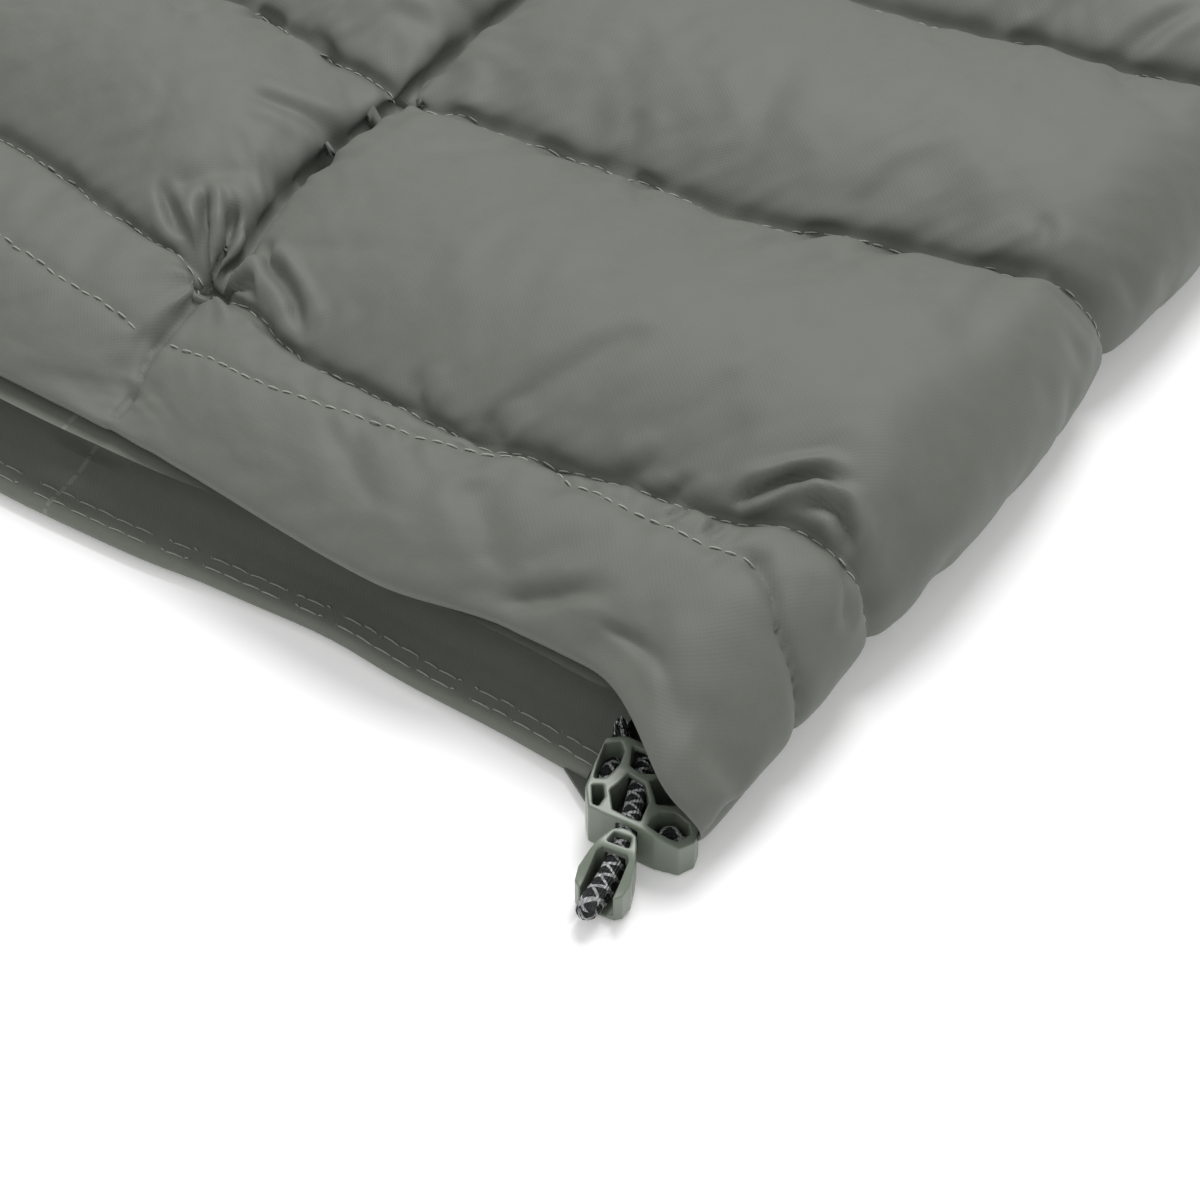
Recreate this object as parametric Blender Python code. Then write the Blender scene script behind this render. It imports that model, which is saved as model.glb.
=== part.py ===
"""A camp quilt, folded in half along its length and laid flat.

The lower leaf lies on the ground and the upper leaf lies on it. They join at a long fold, which is
also the axis that the upper leaf opens about. Each leaf has an outer shell, columns of fill, a lining
and hems on its three free sides. An elastic cord runs in the foot hems and comes out at the fold
corner through a moulded adjuster, with a pull tab on its doubled end.
Metres, +Z up, +Y from the foot end to the head end. The origin is the middle of the underside.
"""

import math

import bmesh
import bpy
from mathutils import Vector

# ---- Driving dimensions: the quilt ----------------------------------------------------------------
LENGTH = 1.848  # foot edge to head edge
HALF_WIDTH = 0.670  # fold to open side, one leaf
LEAF_LOFT = 0.016  # thickness of one leaf over its fill
HEM_DEPTH = 0.040  # edge of the foot or head hem to its stitched line
SIDE_HEM_WIDTH = 0.010
CHAMBER_ROWS = 24
CHAMBER_COLUMNS = 5
SEAM_SINK = 0.006  # how far a cross seam pulls the upper shell down
SHEET = 0.0012  # shell and lining, with the fill that clings to them
CLEAR = 0.0003  # gap between touching pieces
COLUMN_GAP = 0.002  # where a long seam sews shell and lining together
ARC_STEPS = 6  # straight steps across one chamber

# ---- Driving dimensions: drawcord and adjuster -----------------------------------------------------
CORD_DIAMETER = 0.0030
CORD_GAP = 0.0004  # between the two strands of the doubled cord
TUNNEL_WALL = 0.0006
GROUND_GAP = 0.0002  # under the adjuster
CORD_TURN = math.radians(22)  # the doubled cord points this far from the foot direction
CORD_FROM_FOLD = 0.015  # where the doubled cord leaves the adjuster
ADJUSTER_SETBACK = -0.001  # middle of the adjuster behind the foot edge
ADJUSTER_SKIN = 0.0009  # moulding over and under the slot for the cord
CORD_RUN_BEHIND = 0.026  # doubled cord hidden behind the middle of the adjuster
TAB_LENGTH = 0.0125
TAB_WALL = 0.0011  # beside the cord, at the narrow end
TAB_FLARE = 0.0028  # how much wider the tab is at its far end
TAB_SKIN = 0.0007  # over and under the cord
TAB_WINDOW_LENGTH = 0.0070
BIGHT_OUT = 0.0022  # how far the cord's bight stands out of the tab
PIVOT_FROM_ADJUSTER = 0.0024
TAPE_THICKNESS = 0.0008
TAPE_HEIGHT = 0.0015  # underside of the anchor tape above the ground
BARTACK_SIZE = (0.003, 0.008, 0.0008)

# ---- Places that follow from them ------------------------------------------------------------------
FOLD_X = HALF_WIDTH / 2
OPEN_X = FOLD_X - HALF_WIDTH
FOOT_Y = -LENGTH / 2
HEAD_Y = LENGTH / 2
ROLL_RADIUS = LEAF_LOFT
HINGE_X = FOLD_X - ROLL_RADIUS
HINGE_Z = LEAF_LOFT
LEAF_GAP = CLEAR / 2  # each leaf keeps this from the level of the hinge
BODY_X = HINGE_X - ROLL_RADIUS - CLEAR  # fold side of fill, lining and hems
BODY_LOW_Y = FOOT_Y + HEM_DEPTH + CLEAR
BODY_HIGH_Y = HEAD_Y - HEM_DEPTH - CLEAR
SIDE_HEM_X = OPEN_X + SIDE_HEM_WIDTH
ROW_PITCH = (BODY_HIGH_Y - BODY_LOW_Y) / CHAMBER_ROWS
COLUMN_PITCH = HALF_WIDTH / CHAMBER_COLUMNS
CORD_RADIUS = CORD_DIAMETER / 2
CORD_PITCH = CORD_DIAMETER + CORD_GAP  # centre to centre of the doubled cord
SLOT_WIDTH = CORD_DIAMETER + 2 * CLEAR
SLOT_HEIGHT = CORD_PITCH + CORD_DIAMETER + 2 * CLEAR
ADJUSTER_HEIGHT = SLOT_HEIGHT + 2 * ADJUSTER_SKIN
CORD_HEIGHT = GROUND_GAP + ADJUSTER_HEIGHT / 2  # middle of the doubled cord
TAB_WIDTH_TOP = SLOT_WIDTH + 2 * TAB_WALL
TAB_WIDTH_END = TAB_WIDTH_TOP + TAB_FLARE
TAB_HEIGHT = SLOT_HEIGHT + 2 * TAB_SKIN
TAB_WINDOW_WIDTH = SLOT_WIDTH + CORD_GAP
TUNNEL_HEIGHT = CORD_DIAMETER + 2 * (TUNNEL_WALL + CLEAR)
TUNNEL_CORD_Y = FOOT_Y + HEM_DEPTH / 2
RING_OPENING = math.radians(32)  # half the angle that the fold's shell leaves open to the leaves

# Outline and cells of the adjuster, in its own frame: x across the cord, y back along it.
ADJUSTER_OUTLINE = [
    (-0.0040, -0.0054),
    (0.0055, -0.0080),
    (0.0098, -0.0078),
    (0.0108, -0.0040),
    (0.0066, 0.0070),
    (-0.0025, 0.0086),
    (-0.0068, 0.0073),
    (-0.0078, -0.0008),
]
ADJUSTER_CELLS = [  # centre x, centre y, radius, corners
    (0.0004, -0.0016, 0.0029, 5),
    (0.0030, 0.0036, 0.0017, 6),
    (0.0064, -0.0006, 0.0019, 6),
    (0.0078, -0.0053, 0.0016, 6),
    (-0.0041, 0.0048, 0.0016, 6),
]
ADJUSTER_FRONT = 0.0068  # the cord leaves the outline this far in front of its middle


# ---- Small helpers ---------------------------------------------------------------------------------
def clear_scene():
    for old in list(bpy.data.objects):
        bpy.data.objects.remove(old)


def material(name, colour, roughness, metallic=0.0):
    made = bpy.data.materials.new(name)
    made.use_nodes = True
    shader = made.node_tree.nodes["Principled BSDF"]
    shader.inputs["Base Color"].default_value = (*colour, 1)
    shader.inputs["Roughness"].default_value = roughness
    shader.inputs["Metallic"].default_value = metallic
    return made


def frame_empty(name, place, turn=0.0, parent=None):
    """A frame that pieces are parented to; its place is given in its parent's frame."""
    empty = bpy.data.objects.new(name, None)
    empty.location = place
    empty.rotation_euler = (0, 0, turn)
    empty.parent = parent
    bpy.context.collection.objects.link(empty)
    return empty


def add_object(name, data, finish, parent=None, place=(0, 0, 0)):
    made = bpy.data.objects.new(name, data)
    made.data.materials.append(finish)
    made.parent = parent
    made.location = place
    bpy.context.collection.objects.link(made)
    return made


def prism_mesh(name, outline, axis, low, high):
    """Extrudes a flat outline from low to high along an axis.

    The outline's pairs are (y, z) for axis x, (x, z) for axis y and (x, y) for axis z.
    """
    places = {
        "x": lambda a, b, t: (t, a, b),
        "y": lambda a, b, t: (a, t, b),
        "z": lambda a, b, t: (a, b, t),
    }
    mesh = bpy.data.meshes.new(name)
    shape = bmesh.new()
    ring = [shape.verts.new(places[axis](a, b, low)) for a, b in outline]
    cap = shape.faces.new(ring)
    top = bmesh.ops.extrude_face_region(shape, geom=[cap])
    moved = [v for v in top["geom"] if isinstance(v, bmesh.types.BMVert)]
    step = Vector(places[axis](0, 0, high - low))
    bmesh.ops.translate(shape, verts=moved, vec=step)
    bmesh.ops.recalc_face_normals(shape, faces=shape.faces)
    shape.to_mesh(mesh)
    shape.free()
    return mesh


def prism(name, outline, axis, low, high, finish, parent=None, place=(0, 0, 0)):
    return add_object(name, prism_mesh(name, outline, axis, low, high), finish, parent, place)


def rectangle(low, high):
    (x0, y0), (x1, y1) = low, high
    return [(x0, y0), (x1, y0), (x1, y1), (x0, y1)]


def arc(centre, radius, start, end, steps):
    return [
        (
            centre[0] + radius * math.cos(start + (end - start) * i / steps),
            centre[1] + radius * math.sin(start + (end - start) * i / steps),
        )
        for i in range(steps + 1)
    ]


def polygon(centre, radius, corners, turn=0.0):
    return arc(centre, radius, turn, turn + 2 * math.pi, corners)[:-1]


def ring_section(centre, inner, outer, start, end, steps=28):
    """Part of a ring in the x-z plane, from the start angle to the end angle."""
    return arc(centre, outer, start, end, steps) + arc(centre, inner, end, start, steps)


def cut(target, cutter):
    """Takes the cutter's volume out of the target with an exact Boolean."""
    cutter.hide_render = True
    cutter.display_type = "WIRE"
    trim = target.modifiers.new("cut_" + cutter.name, "BOOLEAN")
    trim.operation = "DIFFERENCE"
    trim.solver = "EXACT"
    trim.object = cutter


def round_edges(target, width, segments=2, angle=math.radians(30)):
    soft = target.modifiers.new("rounded_edges", "BEVEL")
    soft.width = width
    soft.segments = segments
    soft.limit_method = "ANGLE"
    soft.angle_limit = angle


def cord(name, points, finish, parent=None, domed=False):
    """A round cord through the points; domed gives it hemispherical ends."""
    curve = bpy.data.curves.new(name, "CURVE")
    curve.dimensions = "3D"
    curve.bevel_depth = CORD_RADIUS
    curve.bevel_resolution = 2
    curve.use_fill_caps = True
    curve.resolution_u = 1
    curve.render_resolution_u = 0
    route = [(Vector(p), 1.0) for p in points]
    if domed:
        route = dome(route[0], route[1])[::-1] + route[1:-1] + dome(route[-1], route[-2])
    spline = curve.splines.new("POLY")
    spline.points.add(len(route) - 1)
    for point, (place, share) in zip(spline.points, route):
        point.co = (*place, 1)
        point.radius = share
    return add_object(name, curve, finish, parent)


def dome(end, before, steps=3):
    """Points that narrow a cord into a hemisphere centred on its end."""
    outward = (end[0] - before[0]).normalized()
    angles = [math.radians(80) * i / steps for i in range(steps + 1)]
    return [(end[0] + outward * CORD_RADIUS * math.sin(a), math.cos(a)) for a in angles]


# ---- Leaf sections ---------------------------------------------------------------------------------
def chamber_wave(height, sink):
    """The crown of the chambers along the leaf: pairs of place and height, foot to head."""
    points = []
    for step in range(CHAMBER_ROWS * ARC_STEPS + 1):
        along = step / ARC_STEPS
        crown = abs(math.sin(math.pi * along)) ** 0.6
        points.append((BODY_LOW_Y + along * ROW_PITCH, height - sink * (1 - crown)))
    return points


def waved_sheet(top, thickness, sink):
    upper = chamber_wave(top, sink)
    lower = [(y, z - thickness) for y, z in upper]
    return lower + upper[::-1]


def fold_end(reach):
    """Where a sheet whose near face lies reach from the hinge's level meets the fold."""
    clear_radius = ROLL_RADIUS + CLEAR
    return HINGE_X - math.sqrt(clear_radius**2 - reach**2)


def column_bounds(column):
    """Low and high x of one column of fill, counted from the fold."""
    high = FOLD_X - column * COLUMN_PITCH - COLUMN_GAP / 2
    low = FOLD_X - (column + 1) * COLUMN_PITCH + COLUMN_GAP / 2
    return max(low, SIDE_HEM_X + CLEAR), min(high, BODY_X)


def tunnel_section(low_y, high_y, low_z):
    """A flat hem tunnel, round at its free edge, and the hollow that the cord lies in."""
    half = TUNNEL_HEIGHT / 2
    middle = low_z + half
    outside = arc((low_y + half, middle), half, math.pi / 2, 3 * math.pi / 2, 6)
    outside += [(high_y, low_z), (high_y, low_z + TUNNEL_HEIGHT)]
    inner = half - TUNNEL_WALL
    wall = 4 * TUNNEL_WALL
    hollow = rectangle((low_y + half, middle - inner), (high_y - wall, middle + inner))
    return outside, hollow


def make_hem(name, low_y, high_y, low_z, mirrored, finish, parent, offset):
    """One foot or head hem, a hollow tunnel across the leaf."""
    outside, hollow = tunnel_section(low_y, high_y, low_z)
    if mirrored:
        flip = low_y + high_y
        outside = [(flip - y, z) for y, z in outside][::-1]
        hollow = [(flip - y, z) for y, z in hollow][::-1]
    hem = prism(name, outside, "x", SIDE_HEM_X + CLEAR, BODY_X, finish, parent, offset)
    overrun = HEM_DEPTH
    cutter = prism(
        name + "_hollow", hollow, "x", OPEN_X - overrun, FOLD_X + overrun, finish, parent, offset
    )
    cut(hem, cutter)
    return hem


def side_hem_section(low_z, high_z):
    """The rolled open edge of a leaf, in the x-z plane."""
    half = (high_z - low_z) / 2
    width = min(half, SIDE_HEM_WIDTH * 0.6)
    middle = (low_z + high_z) / 2
    edge = [
        (OPEN_X + width - width * math.cos(a), middle - half * math.sin(a))
        for a in (math.radians(d) for d in range(90, -91, -20))
    ]
    return edge + [(SIDE_HEM_X, high_z), (SIDE_HEM_X, low_z)]


# ---- The two leaves --------------------------------------------------------------------------------
def make_lower_leaf(looks):
    """Everything of the lower leaf that lies flat on the ground."""
    lining_low = HINGE_Z - LEAF_GAP - SHEET
    body = (BODY_LOW_Y, BODY_HIGH_Y)
    prism(
        "lower_outer_shell",
        rectangle((body[0], 0), (body[1], SHEET)),
        "x",
        SIDE_HEM_X + CLEAR,
        fold_end(HINGE_Z - SHEET),
        looks["shell"],
    )
    prism(
        "lower_lining",
        rectangle((body[0], lining_low), (body[1], lining_low + SHEET)),
        "x",
        SIDE_HEM_X + CLEAR,
        BODY_X,
        looks["lining"],
    )
    fill_low = SHEET + CLEAR
    fill_high = lining_low - CLEAR
    neck = (fill_high - fill_low) / 2 - SHEET
    for column in range(CHAMBER_COLUMNS):
        low, high = column_bounds(column)
        section = [(y, fill_low) for y in body] + chamber_wave(fill_high, neck)[::-1]
        prism(f"lower_fill_column_{column + 1}", section, "x", low, high, looks["fill"])
    edges = {
        "lower_foot_hem": (FOOT_Y, FOOT_Y + HEM_DEPTH, False),
        "lower_head_hem": (HEAD_Y - HEM_DEPTH, HEAD_Y, True),
    }
    for name, (low_y, high_y, mirrored) in edges.items():
        make_hem(name, low_y, high_y, 0, mirrored, looks["shell"], None, (0, 0, 0))
    section = side_hem_section(0, HINGE_Z - LEAF_GAP)
    prism("lower_side_hem", section, "y", FOOT_Y, HEAD_Y, looks["shell"])


def make_upper_leaf(looks, hinge):
    """Everything of the upper leaf, in the frame of the fold's hinge axis."""
    offset = -hinge.location
    lining_low = HINGE_Z + LEAF_GAP
    top = 2 * HINGE_Z
    body = (BODY_LOW_Y, BODY_HIGH_Y)
    valley = top - SEAM_SINK - SHEET - HINGE_Z
    prism(
        "upper_outer_shell",
        waved_sheet(top, SHEET, SEAM_SINK),
        "x",
        SIDE_HEM_X + CLEAR,
        fold_end(valley),
        looks["shell"],
        hinge,
        offset,
    )
    prism(
        "upper_lining",
        rectangle((body[0], lining_low), (body[1], lining_low + SHEET)),
        "x",
        SIDE_HEM_X + CLEAR,
        BODY_X,
        looks["lining"],
        hinge,
        offset,
    )
    fill_low = lining_low + SHEET + CLEAR
    for column in range(CHAMBER_COLUMNS):
        low, high = column_bounds(column)
        crown = chamber_wave(top - SHEET - CLEAR, SEAM_SINK)
        section = [(y, fill_low) for y in body] + crown[::-1]
        name = f"upper_fill_column_{column + 1}"
        prism(name, section, "x", low, high, looks["fill"], hinge, offset)
    edges = {
        "upper_foot_hem": (FOOT_Y, FOOT_Y + HEM_DEPTH, False),
        "upper_head_hem": (HEAD_Y - HEM_DEPTH, HEAD_Y, True),
    }
    for name, (low_y, high_y, mirrored) in edges.items():
        make_hem(name, low_y, high_y, lining_low, mirrored, looks["shell"], hinge, offset)
    section = side_hem_section(lining_low, top)
    prism("upper_side_hem", section, "y", FOOT_Y, HEAD_Y, looks["shell"], hinge, offset)


def make_fold(looks):
    """The fold itself: shell outside, lining inside and fill between, all round the hinge axis."""
    centre = (HINGE_X, HINGE_Z)
    ends = (BODY_LOW_Y, BODY_HIGH_Y)
    inner_shell = ROLL_RADIUS - SHEET
    lining_outer = ROLL_RADIUS / 3
    wide = math.pi - RING_OPENING
    narrow = math.pi - math.radians(12)
    shell = ring_section(centre, inner_shell, ROLL_RADIUS, -wide, wide)
    hem = ring_section(centre, inner_shell, ROLL_RADIUS, -math.pi / 2, wide)
    fill = ring_section(centre, lining_outer + CLEAR, inner_shell - CLEAR, -narrow, narrow)
    lining = ring_section(centre, lining_outer - SHEET, lining_outer, -narrow, narrow)
    prism("fold_outer_shell", shell, "y", *ends, looks["shell"])
    prism("fold_fill", fill, "y", *ends, looks["fill"])
    prism("fold_lining", lining, "y", *ends, looks["lining"])
    foot_start = max(y for _, y in adjuster_outline_in_plan()) + 2 * CLEAR
    foot_start = max(foot_start, FOOT_Y + CLEAR)
    prism("fold_foot_hem", hem, "y", foot_start, ends[0] - CLEAR, looks["shell"])
    prism("fold_head_hem", hem, "y", ends[1] + CLEAR, HEAD_Y, looks["shell"])


# ---- Drawcord, adjuster and pull tab ----------------------------------------------------------------
def cord_origin():
    """Middle of the adjuster, at the height of the doubled cord."""
    return Vector((FOLD_X - CORD_FROM_FOLD, FOOT_Y + ADJUSTER_SETBACK, CORD_HEIGHT))


def to_plan(x, y):
    """A point of the adjuster's own frame as world x and y."""
    middle = cord_origin()
    across = x * math.cos(CORD_TURN) - y * math.sin(CORD_TURN)
    along = x * math.sin(CORD_TURN) + y * math.cos(CORD_TURN)
    return middle.x + across, middle.y + along


def adjuster_outline_in_plan():
    return [to_plan(x, y) for x, y in ADJUSTER_OUTLINE]


def make_adjuster(looks, line):
    """A moulded cage of ribs round open cells, with a slot for the doubled cord through it."""
    half = ADJUSTER_HEIGHT / 2
    cage = prism("adjuster_cage", ADJUSTER_OUTLINE, "z", -half, half, looks["moulding"], line)
    for number, (x, y, radius, corners) in enumerate(ADJUSTER_CELLS):
        cell = polygon((x, y), radius, corners, math.pi / 2)
        name = f"adjuster_cell_cutter_{number + 1}"
        cut(cage, prism(name, cell, "z", -2 * half, 2 * half, looks["moulding"], line))
    wide, tall = SLOT_WIDTH / 2, SLOT_HEIGHT / 2
    reach = 2 * CORD_RUN_BEHIND
    slot = rectangle((-wide, -tall), (wide, tall))
    cut(cage, prism("adjuster_slot_cutter", slot, "y", -reach, reach, looks["moulding"], line))
    round_edges(cage, 0.0004)
    return cage


def make_anchor_tape(looks):
    """The folded tape that sews the adjuster to the lower foot hem."""
    plan = adjuster_outline_in_plan()
    back, front = Vector(plan[-2]), Vector(plan[-1])
    edge = (back - front).normalized()
    outward = Vector((-edge.y, edge.x))
    near = front.lerp(back, 0.25) + outward * CLEAR
    far = front.lerp(back, 0.95) + outward * CLEAR
    hem_x = BODY_X + CLEAR
    low_y = FOOT_Y + TUNNEL_HEIGHT / 2
    shape = [(near.x, near.y), (far.x, far.y)]
    shape += [(hem_x, max(far.y, low_y + TUNNEL_HEIGHT)), (hem_x, max(near.y, low_y))]
    top = TAPE_HEIGHT + TAPE_THICKNESS
    prism("adjuster_anchor_tape", shape, "z", TAPE_HEIGHT, top, looks["tape"])


def make_drawcord(looks, hinge):
    """The elastic runs in the two foot hems, each sewn down by a bar tack at the open side."""
    start_x = SIDE_HEM_X + SIDE_HEM_WIDTH
    lower_z = TUNNEL_HEIGHT / 2
    upper_z = HINGE_Z + LEAF_GAP + TUNNEL_HEIGHT / 2
    mouth_x = BODY_X + CLEAR
    lower = [(start_x, TUNNEL_CORD_Y, lower_z), (mouth_x, TUNNEL_CORD_Y, lower_z)]
    cell_x, cell_y = to_plan(*ADJUSTER_OUTLINE[-3])
    last = Vector((cell_x - CORD_DIAMETER, cell_y + CORD_RADIUS, CORD_HEIGHT))
    bend = Vector((mouth_x + CORD_DIAMETER / 2, TUNNEL_CORD_Y, lower_z))
    steps = 8
    for step in range(1, steps + 1):
        share = step / steps
        first = Vector(lower[1]).lerp(bend, share)
        lower.append(tuple(first.lerp(bend.lerp(last, share), share)))
    cord("lower_drawcord", lower, looks["cord"])
    offset = Vector(hinge.location)
    inside_x = BODY_X - CORD_DIAMETER
    ends = [(start_x, TUNNEL_CORD_Y, upper_z), (inside_x, TUNNEL_CORD_Y, upper_z)]
    cord("upper_drawcord", [Vector(p) - offset for p in ends], looks["cord"], hinge)
    wide, deep, tall = BARTACK_SIZE
    plan = rectangle(
        (start_x, TUNNEL_CORD_Y - deep / 2),
        (start_x + wide, TUNNEL_CORD_Y + deep / 2),
    )
    low = TUNNEL_HEIGHT + CLEAR
    prism("lower_bartack", plan, "z", low, low + tall, looks["thread"])
    low += HINGE_Z + LEAF_GAP
    prism("upper_bartack", plan, "z", low, low + tall, looks["thread"], hinge, -offset)


def make_cord_tail(looks, line):
    """The doubled cord that slides through the adjuster, up to the tab's pivot."""
    back = CORD_RUN_BEHIND
    front = -(ADJUSTER_FRONT + PIVOT_FROM_ADJUSTER - CORD_RADIUS - CLEAR)
    level = CORD_PITCH / 2
    turn = [
        (0, back + level * math.cos(a), level * math.sin(a))
        for a in (math.radians(d) for d in range(-60, 61, 30))
    ]
    points = [(0, front, -level), (0, back, -level), *turn, (0, back, level), (0, front, level)]
    cord("sliding_drawcord", points, looks["cord"], line)


def make_pull_tab(looks, pivot):
    """The moulded tab and the cord's bight that it is pressed over; both swing together."""
    start = -CORD_RADIUS / 2
    end = start - TAB_LENGTH
    top, foot = TAB_WIDTH_TOP / 2, TAB_WIDTH_END / 2
    corner = TAB_WIDTH_TOP / 4
    outline = [
        (-top + corner, start),
        (-top, start - corner),
        (-foot, end + 2 * corner),
        (-foot + corner, end),
        (foot - corner, end),
        (foot, end + 2 * corner),
        (top, start - corner),
        (top - corner, start),
    ]
    half = TAB_HEIGHT / 2
    tab = prism("pull_tab", outline, "z", -half, half, looks["moulding"], pivot)
    wide, tall = SLOT_WIDTH / 2, SLOT_HEIGHT / 2
    channel = rectangle((-wide, -tall), (wide, tall))
    reach = 2 * TAB_LENGTH
    cut(tab, prism("tab_slot_cutter", channel, "y", -reach, reach, looks["moulding"], pivot))
    window_end = end + 2 * corner
    window_start = window_end + TAB_WINDOW_LENGTH
    windows = {
        "tab_window_cutter": (window_end, window_start, TAB_WINDOW_WIDTH / 2),
        "tab_small_window_cutter": (start - 2 * corner, start - corner / 2, CORD_RADIUS),
    }
    for name, (low, high, width) in windows.items():
        hole = rectangle((-width, low), (width, high))
        cut(tab, prism(name, hole, "z", -2 * half, 2 * half, looks["moulding"], pivot))
    round_edges(tab, 0.0004)
    level = CORD_PITCH / 2
    bend = end - BIGHT_OUT + level + CORD_RADIUS
    turn = [
        (0, bend - level * math.sin(a), -level * math.cos(a))
        for a in (math.radians(d) for d in range(0, 181, 30))
    ]
    points = [(0, 0, -level), *turn, (0, 0, level)]
    cord("drawcord_bight", points, looks["cord"], pivot, domed=True)


def make_looks():
    return {
        "shell": material("sage_shell_fabric", (0.185, 0.196, 0.168), 0.62),
        "lining": material("sage_lining_fabric", (0.125, 0.133, 0.122), 0.66),
        "fill": material("pale_fill", (0.78, 0.78, 0.75), 0.95),
        "moulding": material("sage_moulded_plastic", (0.265, 0.300, 0.235), 0.42),
        "cord": material("black_flecked_cord", (0.030, 0.031, 0.034), 0.80),
        "tape": material("sage_anchor_tape", (0.150, 0.160, 0.140), 0.75),
        "thread": material("sage_thread", (0.170, 0.180, 0.155), 0.70),
    }


def main():
    clear_scene()
    looks = make_looks()
    hinge = frame_empty("fold_hinge_axis", (HINGE_X, 0, HINGE_Z))
    line = frame_empty("doubled_cord_line", cord_origin(), CORD_TURN)
    pivot_place = (0, -(ADJUSTER_FRONT + PIVOT_FROM_ADJUSTER), 0)
    pivot = frame_empty("pull_tab_pivot", pivot_place, parent=line)
    make_lower_leaf(looks)
    make_upper_leaf(looks, hinge)
    make_fold(looks)
    make_adjuster(looks, line)
    make_anchor_tape(looks)
    make_drawcord(looks, hinge)
    make_cord_tail(looks, line)
    make_pull_tab(looks, pivot)


main()
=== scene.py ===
# %% [markdown]
# # A camp quilt folded in half
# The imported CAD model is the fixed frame: it says where each leaf, hem and moving piece is.
# This script gives the quilt its looks. Each layer of fabric is a sheet sewn down along its
# seams and blown up by its fill, so cloth simulation is the natural tool for the chambers.

import math
import time

import bpy
import numpy as np
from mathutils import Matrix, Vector

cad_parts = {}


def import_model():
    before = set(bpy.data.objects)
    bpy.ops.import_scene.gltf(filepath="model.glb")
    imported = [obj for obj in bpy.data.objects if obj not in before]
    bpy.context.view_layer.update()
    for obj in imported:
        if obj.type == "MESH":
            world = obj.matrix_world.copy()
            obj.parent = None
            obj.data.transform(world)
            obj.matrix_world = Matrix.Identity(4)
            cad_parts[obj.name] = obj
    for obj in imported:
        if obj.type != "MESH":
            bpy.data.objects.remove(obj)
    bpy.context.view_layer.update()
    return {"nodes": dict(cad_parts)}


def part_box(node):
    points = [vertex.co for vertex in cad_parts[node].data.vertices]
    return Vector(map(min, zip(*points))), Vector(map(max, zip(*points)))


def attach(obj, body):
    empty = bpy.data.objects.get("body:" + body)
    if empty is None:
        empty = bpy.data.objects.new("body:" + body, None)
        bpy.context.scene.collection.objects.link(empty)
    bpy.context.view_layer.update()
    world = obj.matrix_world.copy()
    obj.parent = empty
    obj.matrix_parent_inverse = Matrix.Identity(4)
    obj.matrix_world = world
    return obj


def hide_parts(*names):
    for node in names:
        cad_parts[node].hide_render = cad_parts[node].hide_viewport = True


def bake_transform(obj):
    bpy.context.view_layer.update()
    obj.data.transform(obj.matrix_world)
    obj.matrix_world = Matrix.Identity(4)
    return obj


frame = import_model()

# %% [markdown]
# ## Places that everything else is measured from
# All sizes below are in metres. The fold, the edges and the hinge are read from the packed
# nodes, so the fabric lands where the CAD says.

# %% Edges, hinge and chamber grid
MM = 0.001
FOLD_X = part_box("fold_outer_shell")[1][0]
OPEN_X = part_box("lower_side_hem")[0][0]
FOOT_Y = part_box("lower_foot_hem")[0][1]
HEAD_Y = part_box("lower_head_hem")[1][1]
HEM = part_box("lower_foot_hem")[1][1] - FOOT_Y
LENGTH = HEAD_Y - FOOT_Y
WIDTH = FOLD_X - OPEN_X
HINGE_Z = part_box("fold_outer_shell")[1][2] / 2
HINGE_INSET = 0.016  # the hinge line, in from the outermost line of the fold
ROWS = 24
COLUMNS = 5
ROW_PITCH = (LENGTH - 2 * HEM) / ROWS
COLUMN_PITCH = WIDTH / COLUMNS
SEAM_HEIGHT = 0.0255  # upper shell at its seams, above the ground
EDGE_HEIGHT = 0.0195  # upper shell at its free edges
print("fold at x", FOLD_X, "foot at y", FOOT_Y, "row pitch", ROW_PITCH)


# %% Deselecting, so that each operator acts on one piece only
def select_only(*pieces):
    bpy.ops.object.select_all(action="DESELECT")
    for piece in pieces:
        piece.select_set(True)
    bpy.context.view_layer.objects.active = pieces[0]


def world(from_fold, from_foot, height):
    """A place from its distances to the fold line, the foot edge and the ground."""
    return Vector((FOLD_X - from_fold, FOOT_Y + from_foot, height))


# %% [markdown]
# ## Camera, floor and light
# The view is from above the fold corner at the foot end. A long lens keeps the corner natural.
# The floor is pale and plain, and large soft lamps give the broad shading that shows up fabric.

# %% Camera
LENS_MM = 79.6
CAMERA_PLACE = (-0.1284, -0.2250, 0.3289)
VIEW_TURN = math.radians(33.81)
VIEW_TILT = math.radians(46.17)
camera_data = bpy.data.cameras.new("corner_camera")
camera_data.lens = LENS_MM
camera_data.sensor_width = 36
camera_data.clip_start = 0.01
camera = bpy.data.objects.new("corner_camera", camera_data)
bpy.context.collection.objects.link(camera)
camera.location = world(*CAMERA_PLACE)
camera.rotation_euler = (math.pi / 2 - VIEW_TILT, 0, VIEW_TURN)
bpy.context.scene.camera = camera


# %% Floor, lamps and sky
KEY_PLACE, KEY_TARGET = ((-0.2, 0.6, 2.3), (0.1, -0.7, 0))
KEY_SIZE, KEY_WATTS = (1.4, 52)
FILL_PLACE, FILL_TARGET = ((-1.3, -2.8, 1.7), (0.2, -0.7, 0))
FILL_SIZE, FILL_WATTS = (2.2, 10)
FLOOR_WHITE = 0.97
FLOOR_GLOW = 0.16
SKY_STRENGTH = 0.58


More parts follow.
